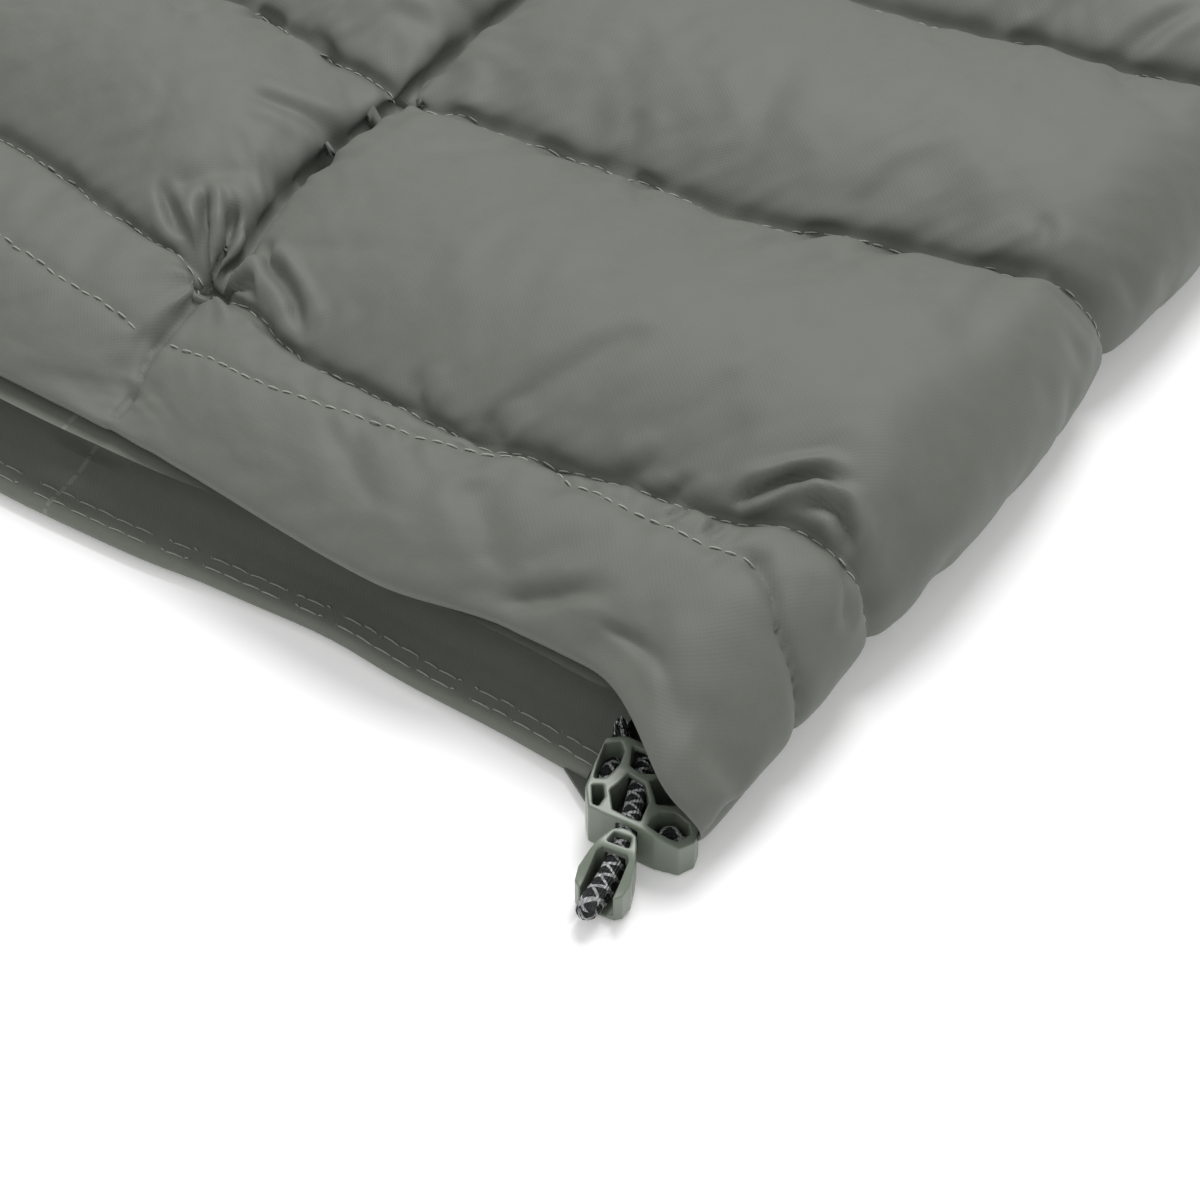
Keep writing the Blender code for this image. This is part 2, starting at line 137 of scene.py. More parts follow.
def lamp(name, place, target, size, watts, colour=(1, 1, 1)):
    data = bpy.data.lights.new(name, "AREA")
    data.shape = "DISK"
    data.size = size
    data.energy = watts
    data.color = colour
    made = bpy.data.objects.new(name, data)
    bpy.context.collection.objects.link(made)
    made.location = place
    made.rotation_euler = (Vector(place) - Vector(target)).to_track_quat("Z", "Y").to_euler()
    return made


bpy.ops.object.select_all(action="DESELECT")
bpy.ops.mesh.primitive_plane_add(size=14, location=(0, 0, 0))
floor = bpy.context.object
floor.name = "studio_floor"
floor_look = bpy.data.materials.new("studio_floor")
floor_look.use_nodes = True
floor_shader = floor_look.node_tree.nodes["Principled BSDF"]
floor_shader.inputs["Base Color"].default_value = (FLOOR_WHITE, FLOOR_WHITE, FLOOR_WHITE, 1)
floor_shader.inputs["Emission Color"].default_value = (1, 1, 1, 1)
floor_shader.inputs["Emission Strength"].default_value = FLOOR_GLOW
floor_shader.inputs["Roughness"].default_value = 0.9
floor.data.materials.append(floor_look)
lamp("key_lamp", KEY_PLACE, KEY_TARGET, KEY_SIZE, KEY_WATTS)
lamp("fill_lamp", FILL_PLACE, FILL_TARGET, FILL_SIZE, FILL_WATTS)
sky = bpy.data.worlds.new("studio_sky")
bpy.context.scene.world = sky
sky.use_nodes = True
sky.node_tree.nodes["Background"].inputs["Color"].default_value = (1, 1, 1, 1)
sky.node_tree.nodes["Background"].inputs["Strength"].default_value = SKY_STRENGTH
bpy.context.scene.view_settings.view_transform = "Standard"

# %% [markdown]
# ## Finishes
# The shell is a fine plain-weave nylon with a soft sheen. The lining is the same cloth, darker.
# The adjuster and the tab are satin moulded plastic. The drawcord is black with pale flecks.
# Patterns that follow the cloth read its UV map, which is in metres. Effects that several
# finishes share are node groups, each built once.


# %% Small helpers for shader nodes
def new_group(name, inputs, outputs):
    """A shader node group with named float inputs and named outputs."""
    group = bpy.data.node_groups.new(name, "ShaderNodeTree")
    for label, kind, value in inputs:
        socket = group.interface.new_socket(label, in_out="INPUT", socket_type=kind)
        if value is not None:
            socket.default_value = value
    for label, kind in outputs:
        group.interface.new_socket(label, in_out="OUTPUT", socket_type=kind)
    return group, group.nodes.new("NodeGroupInput"), group.nodes.new("NodeGroupOutput")


def math_node(tree, operation, first, second=None, third=None, clamp=False):
    node = tree.nodes.new("ShaderNodeMath")
    node.operation = operation
    node.use_clamp = clamp
    for number, value in enumerate((first, second, third)):
        if value is None:
            continue
        if isinstance(value, (int, float)):
            node.inputs[number].default_value = value
        else:
            tree.links.new(value, node.inputs[number])
    return node.outputs[0]


def noise_node(tree, vector, scale, detail=2.0, roughness=0.5):
    node = tree.nodes.new("ShaderNodeTexNoise")
    node.inputs["Scale"].default_value = scale
    node.inputs["Detail"].default_value = detail
    node.inputs["Roughness"].default_value = roughness
    tree.links.new(vector, node.inputs["Vector"])
    return node.outputs["Fac"]


def mix_colours(tree, factor, first, second):
    node = tree.nodes.new("ShaderNodeMix")
    node.data_type = "RGBA"
    tree.links.new(factor, node.inputs[0])
    for value, socket in ((first, node.inputs[6]), (second, node.inputs[7])):
        if isinstance(value, tuple):
            socket.default_value = value
        else:
            tree.links.new(value, socket)
    return node.outputs[2]


def from_srgb(red, green, blue):
    """A screen colour from 0 to 255, as the linear colour that shaders use."""
    def linear(value):
        value = value / 255
        return value / 12.92 if value <= 0.04045 else ((value + 0.055) / 1.055) ** 2.4
    return (linear(red), linear(green), linear(blue), 1.0)


# %% Group: plain weave
weave, weave_in, weave_out = new_group(
    "plain_weave",
    [("Place", "NodeSocketVector", None), ("Threads per metre", "NodeSocketFloat", 2600.0)],
    [("Height", "NodeSocketFloat"), ("Tone", "NodeSocketFloat")],
)
split = weave.nodes.new("ShaderNodeSeparateXYZ")
weave.links.new(weave_in.outputs["Place"], split.inputs[0])
threads = weave_in.outputs["Threads per metre"]
warp_turn = math_node(weave, "MULTIPLY", math_node(weave, "MULTIPLY", split.outputs[0], threads), math.pi)
weft_turn = math_node(weave, "MULTIPLY", math_node(weave, "MULTIPLY", split.outputs[1], threads), math.pi)
warp = math_node(weave, "SINE", warp_turn)
weft = math_node(weave, "SINE", weft_turn)
crossing = math_node(weave, "MULTIPLY", warp, weft)
slubs = noise_node(weave, weave_in.outputs["Place"], 420, 3.0, 0.6)
height = math_node(weave, "MULTIPLY_ADD", crossing, 0.35, slubs)
weave.links.new(height, weave_out.inputs["Height"])
blotches = noise_node(weave, weave_in.outputs["Place"], 26, 4.0, 0.55)
tone = math_node(weave, "MULTIPLY_ADD", slubs, 0.55, math_node(weave, "MULTIPLY", blotches, 0.45))
weave.links.new(tone, weave_out.inputs["Tone"])

# %% Group: rows of stitches along the seams of a sheet, with puckers beside them
THREAD_HALF_WIDTH = 0.00045
STITCH_HALF_PITCH = 0.00145
STITCH_HALF_LENGTH = 0.00115
PUCKER_PITCH = 0.0085
PUCKER_REACH = 0.011
FIRST_LONG_SEAM = 0.008
rows, rows_in, rows_out = new_group(
    "sewn_rows",
    [("Place", "NodeSocketVector", None)],
    [("Thread", "NodeSocketFloat"), ("Height", "NodeSocketFloat")],
)
split = rows.nodes.new("ShaderNodeSeparateXYZ")
rows.links.new(rows_in.outputs["Place"], split.inputs[0])


def seam_rows(run, across, first, pitch):
    """Thread mask and height for parallel seams that lie pitch apart."""
    shifted = math_node(rows, "SUBTRACT", across, first)
    cell = math_node(rows, "PINGPONG", shifted, pitch / 2)
    on_seam = math_node(rows, "LESS_THAN", cell, THREAD_HALF_WIDTH)
    dash = math_node(rows, "PINGPONG", run, STITCH_HALF_PITCH)
    stitch = math_node(rows, "LESS_THAN", dash, STITCH_HALF_LENGTH)
    thread = math_node(rows, "MULTIPLY", on_seam, stitch)
    near = math_node(rows, "SUBTRACT", 1.0, math_node(rows, "DIVIDE", cell, PUCKER_REACH), clamp=True)
    wave = math_node(rows, "SINE", math_node(rows, "MULTIPLY", run, 2 * math.pi / PUCKER_PITCH))
    jitter = noise_node(rows, rows_in.outputs["Place"], 70, 2.0)
    pucker = math_node(rows, "MULTIPLY", math_node(rows, "MULTIPLY", wave, jitter), near)
    return thread, math_node(rows, "MULTIPLY_ADD", thread, 0.6, pucker)


cross_thread, cross_height = seam_rows(split.outputs[0], split.outputs[1], HEM, ROW_PITCH)
long_thread, long_height = seam_rows(split.outputs[1], split.outputs[0], FIRST_LONG_SEAM, COLUMN_PITCH)
rows.links.new(math_node(rows, "MAXIMUM", cross_thread, long_thread), rows_out.inputs["Thread"])
rows.links.new(math_node(rows, "ADD", cross_height, long_height), rows_out.inputs["Height"])


# %% Cloth, with or without sewn rows in the material
def cloth_look(name, colour, thread_and_painted_shade_colour, with_rows, coordinates="UV", contrast=0.13):
    look = bpy.data.materials.new(name)
    look.use_nodes = True
    tree = look.node_tree
    shader = tree.nodes["Principled BSDF"]
    place = tree.nodes.new("ShaderNodeTexCoord").outputs[coordinates]
    woven = tree.nodes.new("ShaderNodeGroup")
    woven.node_tree = weave
    tree.links.new(place, woven.inputs["Place"])
    dark = tuple(c * (1 - contrast) for c in colour[:3]) + (1.0,)
    pale = tuple(c * (1 + contrast) for c in colour[:3]) + (1.0,)
    tinted = mix_colours(tree, woven.outputs["Tone"], dark, pale)
    fine = tree.nodes.new("ShaderNodeBump")
    fine.inputs["Strength"].default_value = 0.22
    fine.inputs["Distance"].default_value = 0.00012
    tree.links.new(woven.outputs["Height"], fine.inputs["Height"])
    normal = fine.outputs[0]
    if with_rows:
        sewn_rows = tree.nodes.new("ShaderNodeGroup")
        sewn_rows.node_tree = rows
        tree.links.new(place, sewn_rows.inputs["Place"])
        # On the stitch dashes the colour is swapped for the row colour: pale thread on the lining, painted
        # shade of the stitched groove on the wide shell.
        tinted = mix_colours(tree, sewn_rows.outputs["Thread"], tinted, thread_and_painted_shade_colour)
        raised = tree.nodes.new("ShaderNodeBump")
        raised.inputs["Strength"].default_value = 0.7
        raised.inputs["Distance"].default_value = 0.0009
        tree.links.new(sewn_rows.outputs["Height"], raised.inputs["Height"])
        tree.links.new(normal, raised.inputs["Normal"])
        normal = raised.outputs[0]
    tree.links.new(tinted, shader.inputs["Base Color"])
    rough = math_node(tree, "MULTIPLY_ADD", woven.outputs["Tone"], 0.16, 0.50)
    tree.links.new(rough, shader.inputs["Roughness"])
    tree.links.new(normal, shader.inputs["Normal"])
    shader.inputs["Sheen Weight"].default_value = 0.05
    shader.inputs["Sheen Roughness"].default_value = 0.45
    shader.inputs["Specular IOR Level"].default_value = 0.32
    return look


SHELL_COLOUR = from_srgb(101, 104, 97)
LINING_COLOUR = from_srgb(106, 110, 101)
THREAD_COLOUR = from_srgb(158, 162, 152)
shell_close = cloth_look("shell_nylon_close", SHELL_COLOUR, THREAD_COLOUR, False)
# The wide shell's stitch rows are painted dark grey as painted shade of the stitched grooves; the thread
# itself is pale.
shell_look = cloth_look("shell_nylon", SHELL_COLOUR, from_srgb(72, 75, 69), True)
lining_look = cloth_look("lining_nylon", LINING_COLOUR, from_srgb(122, 126, 116), True)
plain_look = cloth_look("hem_nylon", SHELL_COLOUR, THREAD_COLOUR, False, "Object")
fold_lining_look = cloth_look("fold_lining_nylon", LINING_COLOUR, THREAD_COLOUR, False, "Object")
# The anchor tape is painted darker than the lining colour: painted shade where it sits between the lower
# hem and the adjuster.
tape_look = cloth_look("anchor_tape", from_srgb(70, 74, 66), THREAD_COLOUR, False, "Object", 0.3)
print("cloth finishes made")


# %% Thread, plastic and cord
def simple_look(name, colour, scale, contrast, roughness, bump):
    """A finish whose tone, gloss and surface vary with one noise."""
    look = bpy.data.materials.new(name)
    look.use_nodes = True
    tree = look.node_tree
    shader = tree.nodes["Principled BSDF"]
    place = tree.nodes.new("ShaderNodeTexCoord").outputs["Object"]
    grain = noise_node(tree, place, scale, 3.0, 0.6)
    dark = tuple(c * (1 - contrast) for c in colour[:3]) + (1.0,)
    pale = tuple(c * (1 + contrast) for c in colour[:3]) + (1.0,)
    tree.links.new(mix_colours(tree, grain, dark, pale), shader.inputs["Base Color"])
    rough = math_node(tree, "MULTIPLY_ADD", grain, roughness[1] - roughness[0], roughness[0])
    tree.links.new(rough, shader.inputs["Roughness"])
    raised = tree.nodes.new("ShaderNodeBump")
    raised.inputs["Strength"].default_value = bump[0]
    raised.inputs["Distance"].default_value = bump[1]
    tree.links.new(grain, raised.inputs["Height"])
    tree.links.new(raised.outputs[0], shader.inputs["Normal"])
    return look, shader


PALE_THREAD_COLOUR = from_srgb(140, 143, 135)
PLASTIC_COLOUR = from_srgb(116, 125, 112)
THREAD_SURFACE = (1900, 0.25, (0.45, 0.7), (0.15, 0.00005))
PLASTIC_SURFACE = (700, 0.06, (0.30, 0.42), (0.12, 0.0001))
thread_look = simple_look("thread", THREAD_COLOUR, *THREAD_SURFACE)[0]
pale_thread = simple_look("pale_thread", PALE_THREAD_COLOUR, *THREAD_SURFACE)[0]
plastic_look, plastic_shader = simple_look("moulded_plastic", PLASTIC_COLOUR, *PLASTIC_SURFACE)
plastic_shader.inputs["Subsurface Weight"].default_value = 0.25
plastic_shader.inputs["Subsurface Radius"].default_value = (0.0012, 0.0014, 0.0011)
plastic_shader.inputs["Coat Weight"].default_value = 0.15
plastic_shader.inputs["Coat Roughness"].default_value = 0.25


def cord_finish(name, coordinates):
    """Black braid with pale tracer yarns; on UV it is (round the cord 0..1, metres along)."""
    look = bpy.data.materials.new(name)
    look.use_nodes = True
    tree = look.node_tree
    shader = tree.nodes["Principled BSDF"]
    place = tree.nodes.new("ShaderNodeTexCoord").outputs[coordinates]
    split = tree.nodes.new("ShaderNodeSeparateXYZ")
    tree.links.new(place, split.inputs[0])
    if coordinates == "UV":
        around = math_node(tree, "MULTIPLY", split.outputs[0], 2 * math.pi)
        ahead = math_node(tree, "MULTIPLY", split.outputs[1], 1150)
    else:
        around = math_node(tree, "MULTIPLY", split.outputs[2], 1900)
        run = math_node(tree, "ADD", split.outputs[0], split.outputs[1])
        ahead = math_node(tree, "MULTIPLY", run, 1150)
    round_turn = math_node(tree, "MULTIPLY", around, 8)
    ahead_turn = math_node(tree, "MULTIPLY", ahead, 4)
    right = math_node(tree, "SINE", math_node(tree, "ADD", round_turn, ahead_turn))
    left = math_node(tree, "SINE", math_node(tree, "SUBTRACT", round_turn, ahead_turn))
    braid = math_node(tree, "MULTIPLY", right, left)
    twist = math_node(tree, "MULTIPLY", ahead, 2.4)
    tracer_turn = math_node(tree, "ADD", math_node(tree, "MULTIPLY", around, 2), twist)
    tracer_back = math_node(tree, "SUBTRACT", math_node(tree, "MULTIPLY", around, 2), twist)
    one_way = math_node(tree, "GREATER_THAN", math_node(tree, "SINE", tracer_turn), 0.72)
    other_way = math_node(tree, "GREATER_THAN", math_node(tree, "SINE", tracer_back), 0.80)
    tracer = math_node(tree, "MAXIMUM", one_way, other_way)
    grain = noise_node(tree, place, 1100 if coordinates == "Object" else 190, 2.0)
    flecks = math_node(tree, "GREATER_THAN", grain, 0.44)
    pale_mask = math_node(tree, "MULTIPLY", tracer, flecks)
    colour = mix_colours(tree, pale_mask, from_srgb(33, 35, 37), from_srgb(222, 223, 225))
    tree.links.new(colour, shader.inputs["Base Color"])
    rough = math_node(tree, "MULTIPLY_ADD", braid, 0.12, 0.6)
    tree.links.new(rough, shader.inputs["Roughness"])
    raised = tree.nodes.new("ShaderNodeBump")
    raised.inputs["Strength"].default_value = 0.9
    raised.inputs["Distance"].default_value = 0.00035
    tree.links.new(math_node(tree, "ADD", braid, pale_mask), raised.inputs["Height"])
    tree.links.new(raised.outputs[0], shader.inputs["Normal"])
    return look


braid_look = cord_finish("braided_cord", "UV")
hidden_cord_look = cord_finish("drawcord_in_hem", "Object")
print("thread, plastic and cord finishes made")

# %% [markdown]
# ## How the upper shell hangs before its fill lifts it
# One function gives the rest shape. The sheet is measured round the quilt by its girth, from
# the outermost line of the fold, and along the quilt from the foot edge. Going over the top
# the girth is positive. Past the fold's outermost line it is negative and runs underneath.


# %% The rest shape of the outer shell
def smooth(t):
    t = np.clip(t, 0, 1)
    return t * t * (3 - 2 * t)


def eased(x, places, values):
    """Values at a few places, joined by smooth steps."""
    x = np.asarray(x, float)
    result = np.full_like(x, values[0])
    for (p0, p1), (v0, v1) in zip(zip(places, places[1:]), zip(values, values[1:])):
        result = result + (v1 - v0) * smooth((x - p0) / (p1 - p0))
    return result


def near_corner(girth, along):
    """1 at the foot corner of the fold, falling to 0 away from it."""
    return (1 - smooth((girth - 0.25) / 0.1)) * (1 - smooth((along - 0.2) / 0.12))


DRIFT_GIRTH = [-0.02, 0.0, 0.01, 0.024, 0.032, 0.05, 0.064, 0.081, 0.114, 0.141, 0.152, 0.206]
HEM_LINE = [8, 7, 8, 9, 4, 2, -1, -4, -3, 4, 8, 16]  # millimetres at those girths
FIRST_ROW = [19, 18, 16, 12, 9, 7, 3, 1, -3, -4, -3, 2]


def seam_drift(girth, along):
    """How far seams wander along the quilt, mostly where the corner was pulled about."""
    hem_line = eased(girth, DRIFT_GIRTH, HEM_LINE)
    first_row = eased(girth, DRIFT_GIRTH, FIRST_ROW)
    share = smooth((along - HEM) / ROW_PITCH)
    corner = (hem_line * (1 - share) + first_row * share) * smooth((along - 0.012) / 0.03)
    wander = 1.3 * np.sin(girth * 41 + along * 13) + 0.9 * np.sin(girth * 83 - along * 29 + 2)
    inside = smooth((along - HEM * 1.6) / 0.05) * smooth((LENGTH - HEM * 0.6 - along) / 0.05)
    return MM * (corner * near_corner(girth, along) + wander * inside)


def column_drift(girth, along):
    """How far the long seams wander across the quilt."""
    inside = smooth((girth - 0.04) / 0.06) * smooth((WIDTH - 0.03 - girth) / 0.06)
    wander = 1.5 * np.sin(along * 23 + girth * 9) + 0.8 * np.sin(along * 57 + 1)
    at_seam = np.exp(-(((girth - COLUMN_PITCH) / 0.05) ** 2))
    bow = eased(along, [0, 0.04, 0.08, 0.16, 0.3], [-3, 0, 6, 7, 0]) * at_seam
    return MM * inside * (wander * smooth((along - 0.1) / 0.1) + bow)


def shell_rest(girth, along):
    """Rest place of the outer shell; girth and along are arrays of the same shape."""
    from_end = np.minimum(along, LENGTH - along)
    edge = 1 - smooth(from_end / (HEM * 1.05))
    width_here = 0.0145 + 0.0105 * edge * smooth(1 - along / LENGTH)
    height = SEAM_HEIGHT + (EDGE_HEIGHT - SEAM_HEIGHT) * edge
    side = 1 - smooth((WIDTH - girth) / 0.03)
    height = height + (EDGE_HEIGHT + 0.001 - height) * side
    half = height / 2
    quarter = (math.pi / 2) * np.sqrt((width_here**2 + half**2) / 2)
    angle = np.clip(girth / quarter, -1, 1) * math.pi / 2
    x = width_here - width_here * np.cos(angle)
    z = half + half * np.sin(angle)
    x = x + np.maximum(np.abs(girth) - quarter, 0)
    z = np.where(girth < -quarter, 0.0008, np.maximum(z, 0.0008))
    y = along + seam_drift(girth, along)
    x = x + column_drift(girth, along) * (girth > 0)
    corner = near_corner(girth, along * 3)
    lip = eased(girth, [-0.02, 0.012, 0.034, 0.05, 0.075, 0.14], [-1, -4, 9, 9, 5, 9])
    y = y + MM * lip * corner * (1 - smooth(np.maximum(along, 0) / 0.025))
    tucked = np.maximum(-along, 0)
    turn = 1 - np.exp(-tucked / 0.0025)
    z = z - 0.0035 * turn
    y = y + tucked * 2 * turn - 0.0004 * np.sin(math.pi * turn)
    over = np.maximum(along - LENGTH, 0)
    turn = 1 - np.exp(-over / 0.0025)
    z = z - 0.0035 * turn
    y = y - over * 2 * turn
    tip = (1 - smooth(along / 0.035)) * np.exp(-((np.maximum(girth, 0) / 0.022) ** 2))
    return x + 0.0006 + 0.0012 * tip, y, z


# %% [markdown]
# ## Sewing and filling a sheet
# A grid is laid over the rest shape with grid lines on every seam. Cloth simulation then
# inflates it: seam vertices are pinned, the fabric is a little larger than its seams, and
# pressure stands for the fill. The spare fabric gathers into puckers along the stitches.


# %% Grid lines that fall on the seams
def lines_between(marks, step):
    lines = [marks[0]]
    for start, end in zip(marks, marks[1:]):
        count = max(1, round((end - start) / step))
        lines += [start + (end - start) * i / count for i in range(1, count + 1)]
    return np.array(lines)


def grid_sheet(name, across_lines, along_lines, place):
    """A grid whose vertex (i, j) goes to place(across, along); its UV map holds both, in metres."""
    nx, ny = len(across_lines) - 1, len(along_lines) - 1
    bpy.ops.object.select_all(action="DESELECT")
    bpy.ops.mesh.primitive_grid_add(x_subdivisions=nx, y_subdivisions=ny, size=1)
    piece = bpy.context.object
    piece.name = piece.data.name = name
    mesh = piece.data
    flat = np.empty(len(mesh.vertices) * 3)
    mesh.vertices.foreach_get("co", flat)
    flat = flat.reshape(-1, 3)
    column = np.rint((flat[:, 0] + 0.5) * nx).astype(int)
    row = np.rint((flat[:, 1] + 0.5) * ny).astype(int)
    across, along = across_lines[column], along_lines[row]
    x, y, z = place(across, along)
    mesh.vertices.foreach_set("co", np.c_[FOLD_X - x, FOOT_Y + y, z].ravel())
    corners = np.empty(len(mesh.loops), int)
    mesh.loops.foreach_get("vertex_index", corners)
    mesh.uv_layers[0].data.foreach_set("uv", np.c_[across[corners], along[corners]].ravel())
    mesh.flip_normals()
    mesh.update()
    return piece, across, along


def crown(across, along, across_seams, along_seams, height):
    """A smooth pillow in every chamber, 0 on the seams."""
    def lift(values, seams):
        result = np.zeros_like(values)
        for low, high in zip(seams, seams[1:]):
            inside = (values > low) & (values < high)
            result[inside] = np.sin(math.pi * (values[inside] - low) / (high - low))
        return result
    return height * np.sqrt(lift(across, across_seams) * lift(along, along_seams))


def read_places(piece):
    flat = np.empty(len(piece.data.vertices) * 3)
    piece.data.vertices.foreach_get("co", flat)
    return flat.reshape(-1, 3)


def write_places(piece, places):
    piece.data.vertices.foreach_set("co", np.asarray(places, float).ravel())
    piece.data.update()


def read_normals(piece):
    flat = np.empty(len(piece.data.vertices) * 3)
    piece.data.vertices.foreach_get("normal", flat)
    return flat.reshape(-1, 3)


def fill_with_pressure(piece, pinned, gathered, pressure, spare, frames=30, stiffness=0.12):
    """Inflates a pinned sheet; gathered is 1 where the thread gathers the most fabric."""
    began = time.time()
    gathers = piece.vertex_groups.new(name="gathered")
    for level in range(1, 11):
        members = np.nonzero(np.rint(gathered * 10).astype(int) == level)[0]
        gathers.add([int(i) for i in members], level / 10, "REPLACE")
    group = piece.vertex_groups.new(name="sewn_down")
    group.add([int(i) for i in np.nonzero(pinned)[0]], 1.0, "REPLACE")
    select_only(piece)
    cloth = piece.modifiers.new("filled_cloth", "CLOTH")
    settings = cloth.settings
    settings.quality = 6
    settings.mass = 0.15
    settings.tension_stiffness = 20
    settings.compression_stiffness = 20
    settings.shear_stiffness = 5
    settings.bending_stiffness = stiffness
    settings.air_damping = 2
    settings.vertex_group_mass = "sewn_down"
    settings.use_pressure = True
    settings.uniform_pressure_force = pressure
    settings.vertex_group_shrink = "gathered"
    settings.shrink_min = -spare[0]
    settings.shrink_max = -spare[1]
    settings.effector_weights.gravity = 0
    cloth.collision_settings.use_collision = False
    cloth.point_cache.frame_start = 1
    cloth.point_cache.frame_end = frames
    for step in range(1, frames + 1):
        bpy.context.scene.frame_set(step)
    bpy.ops.object.modifier_apply(modifier="filled_cloth")
    piece.vertex_groups.clear()
    bpy.context.scene.frame_set(1)
    print(piece.name, "filled in", round(time.time() - began, 1), "s")


def subdivided(piece, levels):
    if levels == 0:
        return
    select_only(piece)
    finer = piece.modifiers.new("finer", "SUBSURF")
    finer.levels = finer.render_levels = levels
    finer.uv_smooth = "NONE"
    bpy.ops.object.modifier_apply(modifier="finer")


# %% [markdown]
# ## The outer shell of the upper leaf
# The foot corner gets a finer sheet than the rest, because it is seen from close by. Both
# sheets come from the same rest shape and are pinned on the same seams, so they meet there.

# %% The lining of the upper leaf, which the shell has to stay above
UPPER_SEAM = 0.0192
UPPER_SEAM_AT_END = 0.0160
UPPER_SEAM_AT_SIDE = 0.0172
SIDE_INSET = 0.012
GROUND_GAP = 0.0004


def upper_lining_height(across, along):
    from_end = np.minimum(along, LENGTH - along)
    rise = smooth((from_end - 0.006) / (HEM - 0.006))
    z = UPPER_SEAM_AT_END + (UPPER_SEAM - UPPER_SEAM_AT_END) * rise
    side = 1 - smooth((WIDTH - across) / 0.03)
    return z * (1 - side) + UPPER_SEAM_AT_SIDE * side


def keep_above_lining(piece):
    """Lifts any vertex that its seam pulled down through the lining or the ground."""
    places = fabric_places(piece)
    moved = read_places(piece)
    from_fold = FOLD_X - moved[:, 0]
    over = (from_fold > 0.0255) & (places[:, 0] > 0.02)
    over &= (places[:, 1] > SIDE_INSET) & (places[:, 1] < LENGTH - SIDE_INSET)
    over &= places[:, 0] < WIDTH - 0.010
    above = upper_lining_height(from_fold, places[:, 1]) + 0.0009
    floor_height = np.where(over, above, GROUND_GAP)
    moved[:, 2] = np.maximum(moved[:, 2], floor_height)
    write_places(piece, moved)


# %% Seams of the outer shell
ACROSS_SEAMS = [COLUMN_PITCH * c + FIRST_LONG_SEAM for c in range(COLUMNS)] + [WIDTH - SIDE_INSET]
ACROSS_SEAMS[0] = -0.024
ALONG_SEAMS = [HEM + ROW_PITCH * r for r in range(ROWS + 1)]
CORNER_COLUMNS = 2
CORNER_ROWS = 3
TUCK = 0.014
FINE_STEP, COARSE_STEP = (0.0031, 0.0085)
SEAM_SINK = 0.0026
SEAM_SINK_WIDTH = 0.0016
FIRST_PUFF = 0.007
GATHER_REACH = 0.009
FILL_PRESSURE = 9.0
FILL_SPARE = (0.012, 0.085)


def sewn(across, along, extra_across=(), extra_along=()):
    """True at vertices on a seam, an edge or the tucked-in part of a hem."""
    tiny = 1e-6
    result = (along < tiny) | (along > LENGTH - tiny)
    result |= (across > WIDTH - SIDE_INSET - tiny) | (across < ACROSS_SEAMS[0] + tiny)
    for seam in ALONG_SEAMS + list(extra_along):
        result |= np.abs(along - seam) < tiny
    body = (along > HEM - tiny) & (along < LENGTH - HEM + tiny)
    for seam in ACROSS_SEAMS[1:]:
        result |= (np.abs(across - seam) < tiny) & body
    for seam in extra_across:
        result |= np.abs(across - seam) < tiny
    return result


def seam_distance(across, along):
    """How far each vertex is from the nearest seam, along the fabric."""
    cross = np.min([np.abs(along - seam) for seam in ALONG_SEAMS], axis=0)
    body = (along > HEM) & (along < LENGTH - HEM)
    down = np.min([np.abs(across - seam) for seam in ACROSS_SEAMS[1:]], axis=0)
    return np.minimum(cross, np.where(body, down, 1.0))


def seam_sink(across, along):
    """How far a long seam is pulled down below the cross seams."""
    result = np.zeros_like(across)
    body = smooth((along - HEM + 0.004) / 0.02) * smooth((LENGTH - HEM + 0.004 - along) / 0.02)
    for seam in ACROSS_SEAMS[1:-1]:
        result += SEAM_SINK * np.exp(-((across - seam) / SEAM_SINK_WIDTH) ** 2)
    return result * body


def outer_shell(name, across_marks, along_marks, step, levels):
    across_lines = lines_between(across_marks, step)
    along_lines = lines_between(along_marks, step)
    piece, across, along = grid_sheet(name, across_lines, along_lines, shell_rest)
    pinned = sewn(across, along, (across_marks[0], across_marks[-1]), (along_marks[-1],))
    places = read_places(piece)
    places[:, 2] -= np.minimum(seam_sink(across, along), places[:, 2] - 0.0005)
    hem_marks = [0.0] + ALONG_SEAMS + [LENGTH]
    puff = crown(across, along, ACROSS_SEAMS, hem_marks, FIRST_PUFF)
    band = (along < HEM) | (along > LENGTH - HEM)
    puff = np.where(band, 0.35 * puff, puff)
    noise = np.random.default_rng(7).normal(0, 0.00015, len(puff))
    normals = read_normals(piece)
    up = np.where(normals[:, 2:3] < -0.5, 0.0, 1.0)
    places += normals * up * (puff + noise * (puff > 0))[:, None]
    write_places(piece, places)
    gathered = np.exp(-seam_distance(across, along) / GATHER_REACH)
    fill_with_pressure(piece, pinned, gathered, FILL_PRESSURE, FILL_SPARE)
    subdivided(piece, levels)
    places = read_places(piece)
    places[:, 2] = np.maximum(places[:, 2], GROUND_GAP)
    write_places(piece, places)
    print(name, len(piece.data.polygons), "faces")
    return piece


# %% The fine corner
CORNER_ACROSS = [ACROSS_SEAMS[0], 0.0] + ACROSS_SEAMS[1 : CORNER_COLUMNS + 1]
CORNER_ALONG = [-TUCK, 0.0] + ALONG_SEAMS[: CORNER_ROWS + 1]
corner_shell = outer_shell("corner_shell", CORNER_ACROSS, CORNER_ALONG, FINE_STEP, 2)

# %% [markdown]
# ## Stitched grooves and puckers
# The simulation gives each chamber its swell. The thread itself pulls in a narrow groove, and
# the fabric beside it ripples at a few millimetres, which is finer than the simulated grid.
# Those are added as small moves along the normals, measured from each seam on the fabric.


